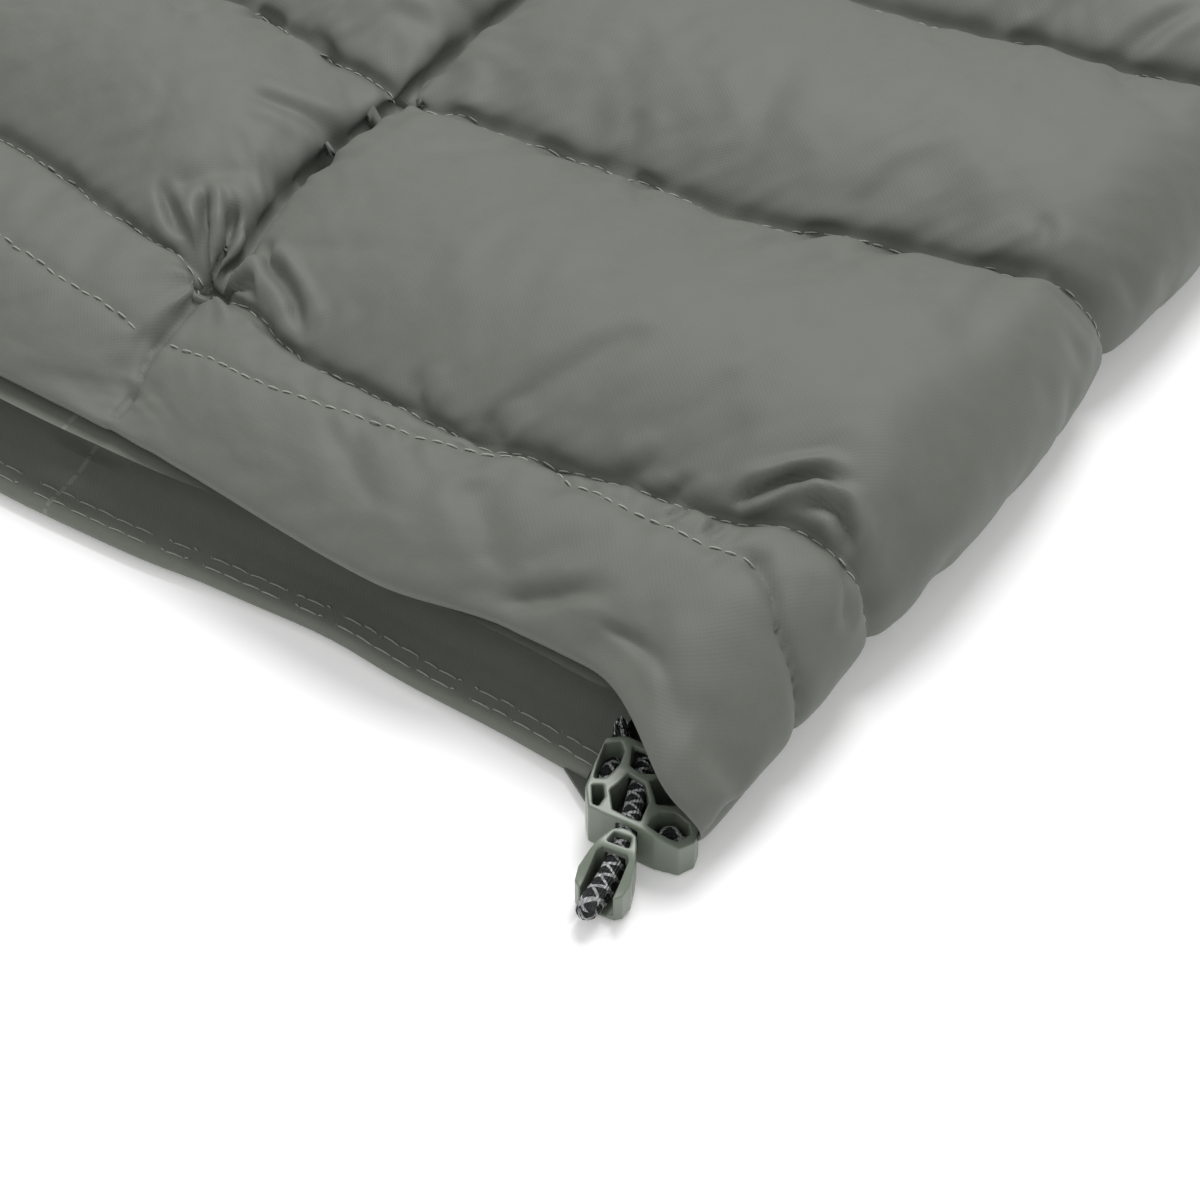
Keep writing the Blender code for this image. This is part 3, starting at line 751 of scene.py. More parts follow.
# %% Distances along the fabric
def fabric_places(piece):
    """The (across, along) place of each vertex, read back from the UV map."""
    mesh = piece.data
    corners = np.empty(len(mesh.loops), int)
    mesh.loops.foreach_get("vertex_index", corners)
    flat = np.empty(len(mesh.loops) * 2)
    mesh.uv_layers[0].data.foreach_get("uv", flat)
    result = np.zeros((len(mesh.vertices), 2))
    result[corners] = flat.reshape(-1, 2)
    return result


def from_line(places, line):
    """Distance to a line on the fabric, the side it is on, and how far along the line."""
    line = np.array(line, float)
    best = np.full(len(places), 9.0)
    side = np.zeros(len(places))
    run = np.zeros(len(places))
    travelled = 0.0
    for start, end in zip(line, line[1:]):
        step = end - start
        length = math.hypot(*step)
        offset = places - start
        share = np.clip(offset @ step / length**2, 0, 1)
        away = offset - share[:, None] * step
        distance = np.hypot(away[:, 0], away[:, 1])
        nearer = distance < best
        best[nearer] = distance[nearer]
        turn = step[0] * offset[:, 1] - step[1] * offset[:, 0]
        side[nearer] = np.sign(turn)[nearer]
        run[nearer] = (travelled + share * length)[nearer]
        travelled += length
    return best, side, run


def ripple(run, distance, seed, pitch=PUCKER_PITCH):
    """Uneven puckers that cross a seam, from -1 to 1."""
    random = np.random.default_rng(seed)
    result = np.zeros_like(run)
    for share in (1.0, 0.63, 1.55, 0.41):
        turn = random.uniform(0, 6.28)
        lean = random.uniform(-1.0, 1.0)
        result += np.sin(2 * math.pi * (run + lean * distance) / (pitch / share) + turn) / 2.2
    swell = 0.6 + 0.4 * np.sin(run * 2 * math.pi / 0.047 + random.uniform(0, 6.28))
    return np.clip(result * swell, -1, 1)


def groove(distance, depth, width):
    return -depth * np.exp(-distance / width)


# %% Lines that are sewn in the corner, as (across, along) on the fabric
CHANNEL_RIGHT = [
    (0.0635, 0.0392), (0.0594, 0.0365), (0.0517, 0.0346),
    (0.0401, 0.0338), (0.0293, 0.0325), (0.0235, 0.0315),
]
CHANNEL_LEFT = [
    (0.0635, 0.0392), (0.0787, 0.0362), (0.0911, 0.0338),
    (0.1042, 0.0315), (0.1204, 0.0292), (0.1397, 0.0262),
]
CHANNEL_FAR = [(0.1445, 0.0255), (0.17, 0.0262), (0.21, 0.027), (0.276, 0.028)]
FOLDED_EDGE = [
    (0.0235, 0.0315), (0.0208, 0.0303), (0.0185, 0.0292),
    (0.0147, 0.0262), (0.0054, 0.0231), (-0.012, 0.020),
]
HEM_SLIT = [(0.142, 0.040), (0.1412, 0.0323), (0.1412, 0.0254), (0.1389, 0.0162), (0.1385, 0.004)]
PINCH = (0.1425, 0.0395)
CHANNELS = [CHANNEL_RIGHT, CHANNEL_LEFT, CHANNEL_FAR]


# %% Working the details into the corner
def straight_seams(across_range, along_range):
    """Cross seams and long seams inside a part of the shell, each as a line."""
    lines = []
    for seam in ALONG_SEAMS:
        if along_range[0] - 1e-6 <= seam <= along_range[1] + 1e-6:
            lines.append([(across_range[0], seam), (across_range[1], seam)])
    for seam in ACROSS_SEAMS[1:-1]:
        if across_range[0] - 1e-6 <= seam <= across_range[1] + 1e-6:
            low = max(along_range[0], HEM)
            high = min(along_range[1], LENGTH - HEM)
            lines.append([(seam, low), (seam, high)])
    return lines


def work_seams(piece, lines, depth, width, pucker, reach, seed, valley=0.0, slope=0.004):
    """A narrow groove at each line, a wider valley beside it, and puckers across it."""
    places = fabric_places(piece)
    lift = np.zeros(len(places))
    body = smooth((places[:, 1] - HEM + 0.002) / 0.002)
    body *= smooth((LENGTH - HEM + 0.002 - places[:, 1]) / 0.002)
    round_fold = 0.35 + 0.65 * smooth((places[:, 0] + 0.004) / 0.03)
    for number, line in enumerate(lines):
        distance, side, run = from_line(places, line)
        lift += groove(distance, depth, width)
        lift += groove(distance, valley, slope) * body * round_fold
        waves = ripple(run, distance, seed + number * 2)
        other = ripple(run, distance, seed + number * 2 + 1)
        waves = np.where(side > 0, waves, other)
        envelope = np.exp(-distance / reach) * (1 - 0.7 * np.exp(-distance / 0.0012))
        lift += pucker * waves * envelope
    moved = read_places(piece)
    moved += read_normals(piece) * lift[:, None]
    write_places(piece, moved)


def crease(piece, line, depth, width, shoulder=0.5, open_start=False, batch=None):
    """A valley between two rounded shoulders, fading at its ends; a batch is written by its caller."""
    places, moved, normals = batch or (fabric_places(piece), read_places(piece), read_normals(piece))
    low = np.min(line, axis=0) - 6 * width
    high = np.max(line, axis=0) + 6 * width
    near = np.nonzero(np.all((places > low) & (places < high), axis=1))[0]
    distance, side, run = from_line(places[near], line)
    valley = -depth * np.exp(-((distance / width) ** 2))
    hills = shoulder * depth * np.exp(-(((distance - 2.2 * width) / (1.3 * width)) ** 2))
    length = sum(math.dist(start, end) for start, end in zip(line, line[1:]))
    ends = smooth((length - run) / (0.35 * length))
    if not open_start:
        ends = ends * smooth(run / (0.3 * length))
    moved[near] += normals[near] * ((valley + hills) * ends)[:, None]
    if batch is None:
        write_places(piece, moved)


def draw_together(piece, cross_shares, long_shares, reach=0.0042):
    """Pulls both banks of each seam towards it, so that the chambers meet in a narrow cleft."""
    places = fabric_places(piece)
    moved = read_places(piece)
    body = smooth((places[:, 1] - HEM) / 0.008) * smooth((LENGTH - HEM - places[:, 1]) / 0.008)
    over_top = smooth((places[:, 0] - 0.004) / 0.03)
    for seam in ALONG_SEAMS:
        offset = places[:, 1] - seam
        share = np.where(offset > 0, cross_shares[1], cross_shares[0])
        moved[:, 1] -= offset * share * np.exp(-((offset / reach) ** 2)) * over_top
    for seam in ACROSS_SEAMS[1:-1]:
        offset = places[:, 0] - seam
        share = np.where(offset > 0, long_shares[1], long_shares[0])
        moved[:, 0] += offset * share * np.exp(-((offset / reach) ** 2)) * body
    write_places(piece, moved)


def folds_from_seams(piece, across_range, along_range, seed, spacing, width):
    """Soft folds of many sizes that start at the seams and die out in the chambers."""
    random = np.random.default_rng(seed)
    batch = (fabric_places(piece), read_places(piece), read_normals(piece))
    for seam in ALONG_SEAMS:
        for side in (-1, 1):
            run = across_range[0] + random.uniform(0, spacing)
            while run < across_range[1]:
                size = random.uniform(0.25, 1.0) ** 1.6
                reach = 0.009 + 0.030 * size
                lean = random.normal(0, 0.45) * reach
                foot = (run, seam + side * 0.0015)
                knee = (run + 0.35 * lean, seam + side * 0.45 * reach)
                tip = (run + lean, seam + side * reach)
                inside = along_range[0] - 1e-6 <= seam <= along_range[1] + 1e-6
                in_body = HEM - 1e-6 <= tip[1] <= LENGTH - HEM + 1e-6
                depth = random.uniform(0.35, 0.9) * MM
                girth = width * (0.8 + 1.4 * size)
                if inside and in_body and random.uniform() < 0.8:
                    crease(piece, [foot, knee, tip], depth, girth, 0.45, True, batch)
                run += spacing * random.uniform(0.5, 1.5)
    for seam in ACROSS_SEAMS[1:-1]:
        for side in (-1, 1):
            run = HEM + random.uniform(0, spacing)
            while run < LENGTH - HEM:
                reach = random.uniform(0.010, 0.034)
                lean = random.normal(0, 0.5) * reach
                depth = random.uniform(0.4, 1.0) * MM
                inside = across_range[0] <= seam <= across_range[1] + 1e-6
                inside = inside and along_range[0] <= run <= along_range[1]
                line = [(seam + side * 0.0015, run), (seam + side * reach, run + lean)]
                if inside:
                    crease(piece, line, depth, width * 1.4, 0.45, True, batch)
                run += 1.3 * spacing * random.uniform(0.5, 1.5)
    write_places(piece, batch[1])


corner_lines = straight_seams((-0.03, CORNER_ACROSS[-1]), (0, CORNER_ALONG[-1]))
folds_from_seams(corner_shell, (0.0, CORNER_ACROSS[-1]), (HEM, CORNER_ALONG[-1]), 21, 0.026, 0.0016)
draw_together(corner_shell, (0.25, 0.62), (0.72, 0.72))
work_seams(corner_shell, corner_lines, 0.0008, 0.0010, 0.00042, 0.0055, 11, 0.0022, 0.0036)
work_seams(corner_shell, CHANNELS, 0.0007, 0.0011, 0.0005, 0.0042, 41)
work_seams(corner_shell, [HEM_SLIT], 0.0022, 0.0008, 0.0005, 0.006, 57)
work_seams(corner_shell, [FOLDED_EDGE], 0.0022, 0.0009, 0.0001, 0.005, 61)
CREASES = [
    (
        [(0.0345, 0.0412), (0.0318, 0.0450), (0.0278, 0.0477), (0.0239, 0.0486), (0.0185, 0.0490)],
        0.0024,
        0.0012,
    ),
    (
        [(0.0250, 0.0425), (0.0216, 0.0446), (0.0185, 0.0454), (0.0155, 0.0436), (0.0125, 0.0400)],
        0.0022,
        0.0011,
    ),
    ([(0.0139, 0.0400), (0.0100, 0.0370), (0.0054, 0.0323)], 0.0010, 0.0013),
    ([(0.1390, 0.0560), (0.1340, 0.0500), (0.1242, 0.0477), (0.1150, 0.0420)], 0.0018, 0.0014),
    ([(0.1730, 0.1180), (0.1630, 0.1129), (0.1560, 0.1080)], 0.0010, 0.0018),
    ([(0.0890, 0.0402), (0.0925, 0.0430), (0.0950, 0.0470)], 0.0010, 0.0017),
    ([(0.0735, 0.0402), (0.0760, 0.0425), (0.0790, 0.0455)], 0.0010, 0.0017),
    ([(0.0540, 0.0402), (0.0500, 0.0430), (0.0470, 0.0460)], 0.0010, 0.0017),
    ([(0.0440, 0.0402), (0.0425, 0.0425), (0.0430, 0.0455)], 0.0010, 0.0017),
    ([(0.1440, 0.0430), (0.1470, 0.0490), (0.1480, 0.0570)], 0.0022, 0.0012),
    ([(0.1460, 0.0425), (0.1520, 0.0480), (0.1570, 0.0560)], 0.0022, 0.0013),
    ([(0.1475, 0.0415), (0.1570, 0.0450), (0.1660, 0.0500)], 0.0016, 0.0012),
    ([(0.1400, 0.0425), (0.1350, 0.0440), (0.1310, 0.0425)], 0.0012, 0.0010),
    ([(0.1026, 0.0292), (0.0900, 0.0210), (0.0787, 0.0120)], 0.0005, 0.0028),
    ([(0.0750, 0.0310), (0.0640, 0.0210), (0.0570, 0.0090)], 0.0005, 0.0026),
    ([(0.0560, 0.0010), (0.0500, 0.0070), (0.0440, 0.0150), (0.0370, 0.0220)], 0.0011, 0.0024),
    ([(0.0335, 0.0335), (0.0330, 0.0365), (0.0345, 0.0395)], 0.0009, 0.0008),
    ([(0.0410, 0.0345), (0.0395, 0.0370), (0.0400, 0.0395)], 0.0007, 0.0008),
]
for line, depth, width in CREASES:
    crease(corner_shell, line, depth, width)
PLEAT = [(0.0375, 0.0085), (0.0320, 0.0105), (0.0260, 0.0118), (0.0200, 0.0115)]
crease(corner_shell, PLEAT, 0.0009, 0.0021, 0.2)

# %% The pinch where four seams meet the hem
places = fabric_places(corner_shell)
offset = places - PINCH
radius = np.hypot(offset[:, 0], offset[:, 1])
angle = np.arctan2(offset[:, 1], offset[:, 0])
spokes = np.sin(angle * 9 + 0.6) * 0.6 + np.sin(angle * 14 + 2.1) * 0.4
strength = 0.0010 + 0.0012 * smooth((offset[:, 1] + 0.002) / 0.006)
lift = strength * spokes * np.exp(-radius / 0.010) * (1 - np.exp(-radius / 0.0015))
lift -= 0.0022 * np.exp(-radius / 0.0035)
moved = read_places(corner_shell) + read_normals(corner_shell) * lift[:, None]
write_places(corner_shell, moved)
keep_above_lining(corner_shell)

# %% The hem lies over its cord
def lay_over_cord(piece):
    """Keeps the hem band above the cord that runs inside it."""
    low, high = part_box("upper_drawcord")
    middle, half = (low[1] + high[1]) / 2, (high[1] - low[1]) / 2
    moved = read_places(piece)
    beyond = np.maximum(moved[:, 0] - high[0], 0)
    top = high[2] + 0.0007 - ((moved[:, 1] - middle) / half) ** 2 * 0.0010 - 60 * beyond**2
    inside = (np.abs(moved[:, 1] - middle) < 2.2 * half) & (read_normals(piece)[:, 2] > 0)
    inside &= fabric_places(piece)[:, 1] > 0.0005
    moved[inside, 2] = np.maximum(moved[inside, 2], top[inside])
    low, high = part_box("upper_bartack")
    beside = np.maximum(np.abs(moved[:, 0] - (low[0] + high[0]) / 2) - (high[0] - low[0]) / 2, 0)
    behind = np.maximum(np.abs(moved[:, 1] - (low[1] + high[1]) / 2) - (high[1] - low[1]) / 2, 0)
    away = np.hypot(beside, behind)
    top = high[2] + 0.0008 - 0.45 * np.maximum(away - 0.001, 0)
    inside = (away < 0.012) & (fabric_places(piece)[:, 1] > 0.0005) & (read_normals(piece)[:, 2] > 0)
    moved[inside, 2] = np.maximum(moved[inside, 2], top[inside])
    write_places(piece, moved)


lay_over_cord(corner_shell)

# %% [markdown]
# ## Shared ways to finish a piece
# Each piece gets one finish and smooth shading.


def dress(piece, look):
    piece.data.materials.clear()
    piece.data.materials.append(look)
    select_only(piece)
    bpy.ops.object.shade_smooth()


dress(corner_shell, shell_close)
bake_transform(corner_shell)

# %% [markdown]
# ## The rest of the outer shell
# The same recipe with a wider grid covers the whole leaf. Its foot corner is cut away where the
# fine sheet lies.

# %% The wide sheet
SHELL_ACROSS = [ACROSS_SEAMS[0], 0.0] + ACROSS_SEAMS[1:] + [WIDTH]
SHELL_ALONG = [-TUCK, 0.0] + ALONG_SEAMS + [LENGTH, LENGTH + TUCK]
upper_shell = outer_shell("upper_shell", SHELL_ACROSS, SHELL_ALONG, COARSE_STEP, 1)
places = fabric_places(upper_shell)
under = (places[:, 0] < CORNER_ACROSS[-1] - 1e-5) & (places[:, 1] < CORNER_ALONG[-1] - 1e-5)
moved = read_places(upper_shell)
moved[under, 2] = np.maximum(moved[under, 2] - 0.0015, 0.0003)
write_places(upper_shell, moved)
wide_lines = straight_seams((ACROSS_SEAMS[0], WIDTH), (0, LENGTH))
folds_from_seams(upper_shell, (0.0, WIDTH - 0.02), (HEM, LENGTH - HEM), 77, 0.045, 0.0032)
draw_together(upper_shell, (0.25, 0.50), (0.55, 0.55))
work_seams(upper_shell, wide_lines, 0.0010, 0.0016, 0.0005, 0.008, 101, 0.0024, 0.0045)


def cut_away(piece, gone):
    """Deletes the vertices that a mask marks."""
    select_only(piece)
    bpy.ops.object.mode_set(mode="EDIT")
    bpy.ops.mesh.select_all(action="DESELECT")
    bpy.ops.object.mode_set(mode="OBJECT")
    piece.data.vertices.foreach_set("select", gone)
    bpy.ops.object.mode_set(mode="EDIT")
    bpy.ops.mesh.select_mode(type="VERT")
    bpy.ops.mesh.delete(type="VERT")
    bpy.ops.object.mode_set(mode="OBJECT")


places = fabric_places(upper_shell)
covered = (places[:, 0] < CORNER_ACROSS[-1] - 0.006) & (places[:, 1] < CORNER_ALONG[-1] - 0.006)
cut_away(upper_shell, covered)
keep_above_lining(upper_shell)
lay_over_cord(upper_shell)
dress(upper_shell, shell_look)
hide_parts("upper_outer_shell", "fold_outer_shell", "fold_fill", "upper_foot_hem")
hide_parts("upper_head_hem", "fold_head_hem", "fold_foot_hem")
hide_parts(*[f"upper_fill_column_{c + 1}" for c in range(COLUMNS)])
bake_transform(upper_shell)
print("upper shell", len(upper_shell.data.polygons), "faces")

# %% [markdown]
# ## Linings and the sheet on the ground
# The linings face each other inside the fold, and face up when the quilt is opened. One
# simulated relief serves both: it swells up on the lower leaf and down on the upper leaf, and
# is pressed flat where the two meet.

# %% Rest shapes of the linings
ROLL = 0.0016
LINING_START = 0.0255
LINING_ACROSS = [LINING_START] + [s for s in ACROSS_SEAMS[1:-1]] + [WIDTH - 0.012, WIDTH - 0.002]
LINING_ALONG = [-0.012, 0.0, 0.012, HEM] + ALONG_SEAMS[1:-1]
LINING_ALONG += [LENGTH - HEM, LENGTH - 0.012, LENGTH, LENGTH + 0.012]
LOWER_SEAM = 0.0105
RELIEF = 0.0045
UPPER_RELIEF_SHARE = 0.85


EDGE_DRIFT_PLACES = [0.027, 0.043, 0.0635, 0.079, 0.107, 0.123, 0.149]
EDGE_DRIFT = [1, 1.8, 1.7, 3, 1.3, -0.7, -1.7]  # millimetres at those places


def lower_edge_drift(from_fold):
    wander = 0.9 * np.sin(from_fold * 47 + 1) + 0.5 * np.sin(from_fold * 118)
    corner = eased(from_fold, EDGE_DRIFT_PLACES, EDGE_DRIFT)
    near = 1 - smooth((from_fold - 0.15) / 0.08)
    return MM * (corner * near + wander * (1 - near))


def lower_lining_rest(across, along):
    from_end = np.minimum(along, LENGTH - along)
    s = from_end + math.pi * ROLL / 2
    angle = np.clip(s / (math.pi * ROLL), 0, 1) * math.pi
    inward = ROLL - ROLL * np.sin(angle) + np.maximum(s - math.pi * ROLL, 0) + np.maximum(-s, 0)
    inward = inward + lower_edge_drift(across) * (1 - smooth(from_end / 0.03))
    z = 0.0006 + ROLL - ROLL * np.cos(angle)
    z = z + (LOWER_SEAM - 2 * ROLL) * smooth((from_end - 0.006) / (HEM - 0.006))
    side = 1 - smooth((WIDTH - across) / 0.03)
    z = np.minimum(z, z * (1 - side) + 0.0042 * side)
    y = np.where(along < LENGTH / 2, inward, LENGTH - inward)
    y = y + seam_drift(across, along) * smooth((from_end - 0.02) / 0.02)
    return across + column_drift(across, along), y, z


# %% Simulating the relief once
def lining_lines():
    across = lines_between(LINING_ACROSS, COARSE_STEP)
    ends = lines_between([-0.012, -0.0025, 0.0, 0.0025, 0.012], 0.0016)
    middle = lines_between([0.012] + LINING_ALONG[3:-3], COARSE_STEP)
    along = np.concatenate([ends, middle[1:], (LENGTH - ends)[::-1][1:]])
    return across, along


across_lines, along_lines = lining_lines()
lower_lining, across, along = grid_sheet("lower_lining_sheet", across_lines, along_lines, lower_lining_rest)
rest = read_places(lower_lining)
pinned = sewn(across, along, (LINING_START,))
pinned |= (along < 0.012 + 1e-6) | (along > LENGTH - 0.012 - 1e-6)
marks = [LINING_START] + ACROSS_SEAMS[1:-1] + [WIDTH - 0.012]
puff = crown(across, along, marks, ALONG_SEAMS, RELIEF)
noise = np.random.default_rng(9).normal(0, 0.0002, len(puff))
start = rest.copy()
start[:, 2] += puff + noise * (puff > 0)
write_places(lower_lining, start)
gathered = np.exp(-seam_distance(across, along) / 0.012)
fill_with_pressure(lower_lining, pinned, gathered, 5.0, (0.012, 0.07))
relief = read_places(lower_lining) - rest
relief[:, 2] = RELIEF * np.tanh(relief[:, 2] / RELIEF)
write_places(lower_lining, rest + relief)

# %% The upper lining is the same relief, swelling downwards
upper_lining, across, along = grid_sheet("upper_lining_sheet", across_lines, along_lines, lower_lining_rest)
places = read_places(upper_lining)
places[:, 2] = upper_lining_height(across, along)
relief[:, 2] *= -UPPER_RELIEF_SHARE
write_places(upper_lining, places + relief)
upper_lining.data.flip_normals()
cut_away(upper_lining, (along < 0.0075) | (along > LENGTH - 0.0075))

for piece, leaf in ((lower_lining, "lower_leaf"), (upper_lining, "upper_leaf")):
    subdivided(piece, 1)
    wide_lines = straight_seams((LINING_START, WIDTH), (0, LENGTH))
    work_seams(piece, wide_lines, 0.0008, 0.0020, 0.0004, 0.008, 301)
    dress(piece, lining_look)
    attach(piece, leaf)
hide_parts("lower_lining", "lower_foot_hem", "lower_head_hem")
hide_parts(*[f"lower_fill_column_{c + 1}" for c in range(COLUMNS)])
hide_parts("upper_lining")


# %% The lining in the fold, and the shell on the ground
def fold_lining_rest(round_fold, along):
    """A soft U turn up to the hinge line; round_fold runs from 0 above to 1 below."""
    turn = round_fold * math.pi
    x = 0.034 - (0.034 - HINGE_INSET) * np.sin(turn) ** 0.8
    above = upper_lining_height(x, along) - HINGE_Z + 0.0010
    reach = np.where(turn < math.pi / 2, above, 0.0064)
    z = HINGE_Z + reach * np.sign(np.cos(turn)) * np.abs(np.cos(turn)) ** 0.6
    return x, along + seam_drift(x, along), z


turn_lines = np.linspace(0, 1, 15)
fold_lines = lines_between([0.015] + ALONG_SEAMS + [LENGTH - 0.015], COARSE_STEP)
fold_lining, round_fold, along = grid_sheet("fold_lining_sheet", turn_lines, fold_lines, fold_lining_rest)
fold_lining.data.flip_normals()
places = read_places(fold_lining)
ripples = 0.0010 * np.sin(along * 430 + 2 * np.sin(along * 61))
ripples *= np.sin(2 * round_fold * math.pi) ** 2
places[:, 0] += ripples
write_places(fold_lining, places)
subdivided(fold_lining, 1)
dress(fold_lining, fold_lining_look)
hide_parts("fold_lining")
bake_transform(fold_lining)


def ground_rest(across, along):
    """The shell under the quilt: drawn up a little at the seams, flat where it rests."""
    cell = crown(across, along, [0.012] + ACROSS_SEAMS[1:-1] + [WIDTH - 0.004], ALONG_SEAMS, 1.0)
    from_end = np.minimum(along, LENGTH - along)
    drawn = 0.0004 + 0.0030 * (1 - cell) ** 2 * smooth((from_end - 0.02) / 0.03)
    drawn = drawn * smooth((WIDTH - across) / 0.02) + 0.0004
    y = along + seam_drift(across, along) * smooth((from_end - 0.02) / 0.02)
    return across + column_drift(across, along), y, drawn


ground_across = lines_between([0.012] + ACROSS_SEAMS[1:-1] + [WIDTH - 0.004, WIDTH - 0.0005], 0.011)
ground_along = lines_between([0.0045, HEM] + ALONG_SEAMS[1:-1] + [LENGTH - HEM, LENGTH - 0.0045], 0.011)
ground_shell, across, along = grid_sheet("ground_shell", ground_across, ground_along, ground_rest)
ground_shell.data.flip_normals()
subdivided(ground_shell, 1)
dress(ground_shell, shell_look)
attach(ground_shell, "lower_leaf")
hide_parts("lower_outer_shell")
print("linings", len(lower_lining.data.polygons), "faces each")

# %% [markdown]
# ## Side hems
# Along the open side each leaf is closed by a narrow binding: a folded strip, a little puffed
# and drawn in along its stitches. One flattened tube, rippled along its length, gives both.


# %% A flattened, rippled tube along the open side
HEM_SIDES = 20


def side_hem_rest(low, high, seed):
    middle = (low + high) / 2
    centre = WIDTH - 0.0050
    def place(around, along):
        turn = around * 2 * math.pi
        swell = 1 + 0.10 * np.sin(along * 210 + seed) + 0.08 * np.sin(along * 530 + 2 * seed)
        pinch = 1 - 0.25 * np.exp(-((np.abs(np.cos(turn)) - 0.55) ** 2) / 0.01)
        x = centre + 0.0050 * np.sign(np.cos(turn)) * np.abs(np.cos(turn)) ** 0.8
        z = middle + (high - low) / 2 * np.sin(turn) * swell * pinch * 0.9
        drift = 0.0006 * np.sin(along * 37 + seed)
        return x + drift, along, np.maximum(z, 0.0004)
    return place


def side_hem(name, leaf, low, high, seed):
    around = np.linspace(0, 1, HEM_SIDES + 1)
    along = lines_between([0.0015, LENGTH - 0.0015], 0.0045)
    piece, across, run = grid_sheet(name, around, along, side_hem_rest(low, high, seed))
    select_only(piece)
    bpy.ops.object.mode_set(mode="EDIT")
    bpy.ops.mesh.select_all(action="SELECT")
    bpy.ops.mesh.remove_doubles(threshold=0.00002)
    bpy.ops.mesh.select_all(action="DESELECT")
    bpy.ops.mesh.select_non_manifold()
    bpy.ops.mesh.edge_face_add()
    bpy.ops.mesh.select_all(action="SELECT")
    bpy.ops.mesh.normals_make_consistent(inside=False)
    bpy.ops.object.mode_set(mode="OBJECT")
    dress(piece, plain_look)
    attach(piece, leaf)
    return piece


lower_side = side_hem("lower_side_binding", "lower_leaf", 0.0004, 0.0062, 1.0)
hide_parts("lower_side_hem")
upper_side = side_hem("upper_side_binding", "upper_leaf", 0.0163, 0.0222, 2.5)
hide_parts("upper_side_hem")
print("side bindings", len(lower_side.data.polygons), "faces each")

# %% [markdown]
# ## Stitches
# Each stitch is a short thread that dips into the cloth at both ends. One low capsule is
# copied along a line on the fabric, and every copy is laid on the finished surface.

# %% Laying stitches on a sheet
STITCH_PITCH = 0.0029
STITCH_LENGTH = 0.0024
STITCH_RADIUS = 0.00017
STITCH_RINGS = [(0.0, 0.3, -0.6), (0.16, 0.9, 0.6), (0.5, 1.0, 1.1), (0.84, 0.9, 0.6), (1.0, 0.3, -0.6)]
STITCH_SIDES = 6


def points_along(line, pitch):
    """Evenly spaced places along a line, with the direction at each."""
    line = np.array(line, float)
    steps = np.diff(line, axis=0)
    lengths = np.hypot(steps[:, 0], steps[:, 1])
    total = np.r_[0, np.cumsum(lengths)]
    runs = np.arange(pitch * 0.4, total[-1] - pitch * 0.5, pitch)
    found = []
    for run in runs:
        k = min(int(np.searchsorted(total, run) - 1), len(steps) - 1)
        k = max(k, 0)
        found.append((line[k] + steps[k] * (run - total[k]) / lengths[k], steps[k] / lengths[k]))
    return found


def surface_lookup(piece):
    """Finds the surface place and normal above a place on the fabric."""
    places = fabric_places(piece)
    solid = read_places(piece)
    normals = read_normals(piece)
    cell = 0.004
    keys = np.floor(places / cell).astype(int)
    table = {}
    for number, key in enumerate(map(tuple, keys)):
        table.setdefault(key, []).append(number)

    def look_up(place):
        key = np.floor(place / cell).astype(int)
        near = []
        for dx in (-1, 0, 1):
            for dy in (-1, 0, 1):
                near += table.get((key[0] + dx, key[1] + dy), [])
        near = np.array(near)
        distance = np.hypot(*(places[near] - place).T)
        best = np.argsort(distance)[:4]
        weight = 1 / (distance[best] + 1e-5)
        weight /= weight.sum()
        return weight @ solid[near[best]], weight @ normals[near[best]]
    return look_up


def closed_piece(name, corners, faces, uvs=None):
    """A piece from its own corners and faces, with every face turned outwards."""
    mesh = bpy.data.meshes.new(name)
    mesh.from_pydata(corners, [], faces)
    if uvs is not None:
        mesh.uv_layers.new(name="UVMap").data.foreach_set("uv", np.array(uvs).ravel())
    piece = bpy.data.objects.new(name, mesh)
    bpy.context.collection.objects.link(piece)
    select_only(piece)
    bpy.ops.object.mode_set(mode="EDIT")
    bpy.ops.mesh.select_all(action="SELECT")
    bpy.ops.mesh.normals_make_consistent(inside=False)
    bpy.ops.object.mode_set(mode="OBJECT")
    return piece


def stitches(name, sheet, lines, look, radius=STITCH_RADIUS):
    look_up = surface_lookup(sheet)
    corners, faces = [], []
    random = np.random.default_rng(5)
    for line in lines:
        for place, heading in points_along(line, STITCH_PITCH):
            place = place + random.normal(0, 0.00008, 2)
            start, up = look_up(place)
            end, _ = look_up(place + heading * STITCH_LENGTH)
            along = end - start
            up = up / np.linalg.norm(up)
            across = np.cross(along, up)
            across = across / max(np.linalg.norm(across), 1e-9)
            first = len(corners)
            for share, size, rise in STITCH_RINGS:
                middle = start + along * share + up * rise * radius * 1.3
                for side in range(STITCH_SIDES):
                    turn = 2 * math.pi * side / STITCH_SIDES
                    ring = across * math.cos(turn) + up * math.sin(turn)
                    corners.append(tuple(middle + ring * radius * size))
            for ring in range(len(STITCH_RINGS) - 1):
                for side in range(STITCH_SIDES):
                    a = first + ring * STITCH_SIDES + side
                    b = first + ring * STITCH_SIDES + (side + 1) % STITCH_SIDES
                    faces.append((a, b, b + STITCH_SIDES, a + STITCH_SIDES))
            last = first + (len(STITCH_RINGS) - 1) * STITCH_SIDES
            faces.append(tuple(range(first + STITCH_SIDES - 1, first - 1, -1)))
            faces.append(tuple(range(last, last + STITCH_SIDES)))
    piece = closed_piece(name, corners, faces)
    dress(piece, look)
    print(name, len(faces), "faces")
    return piece


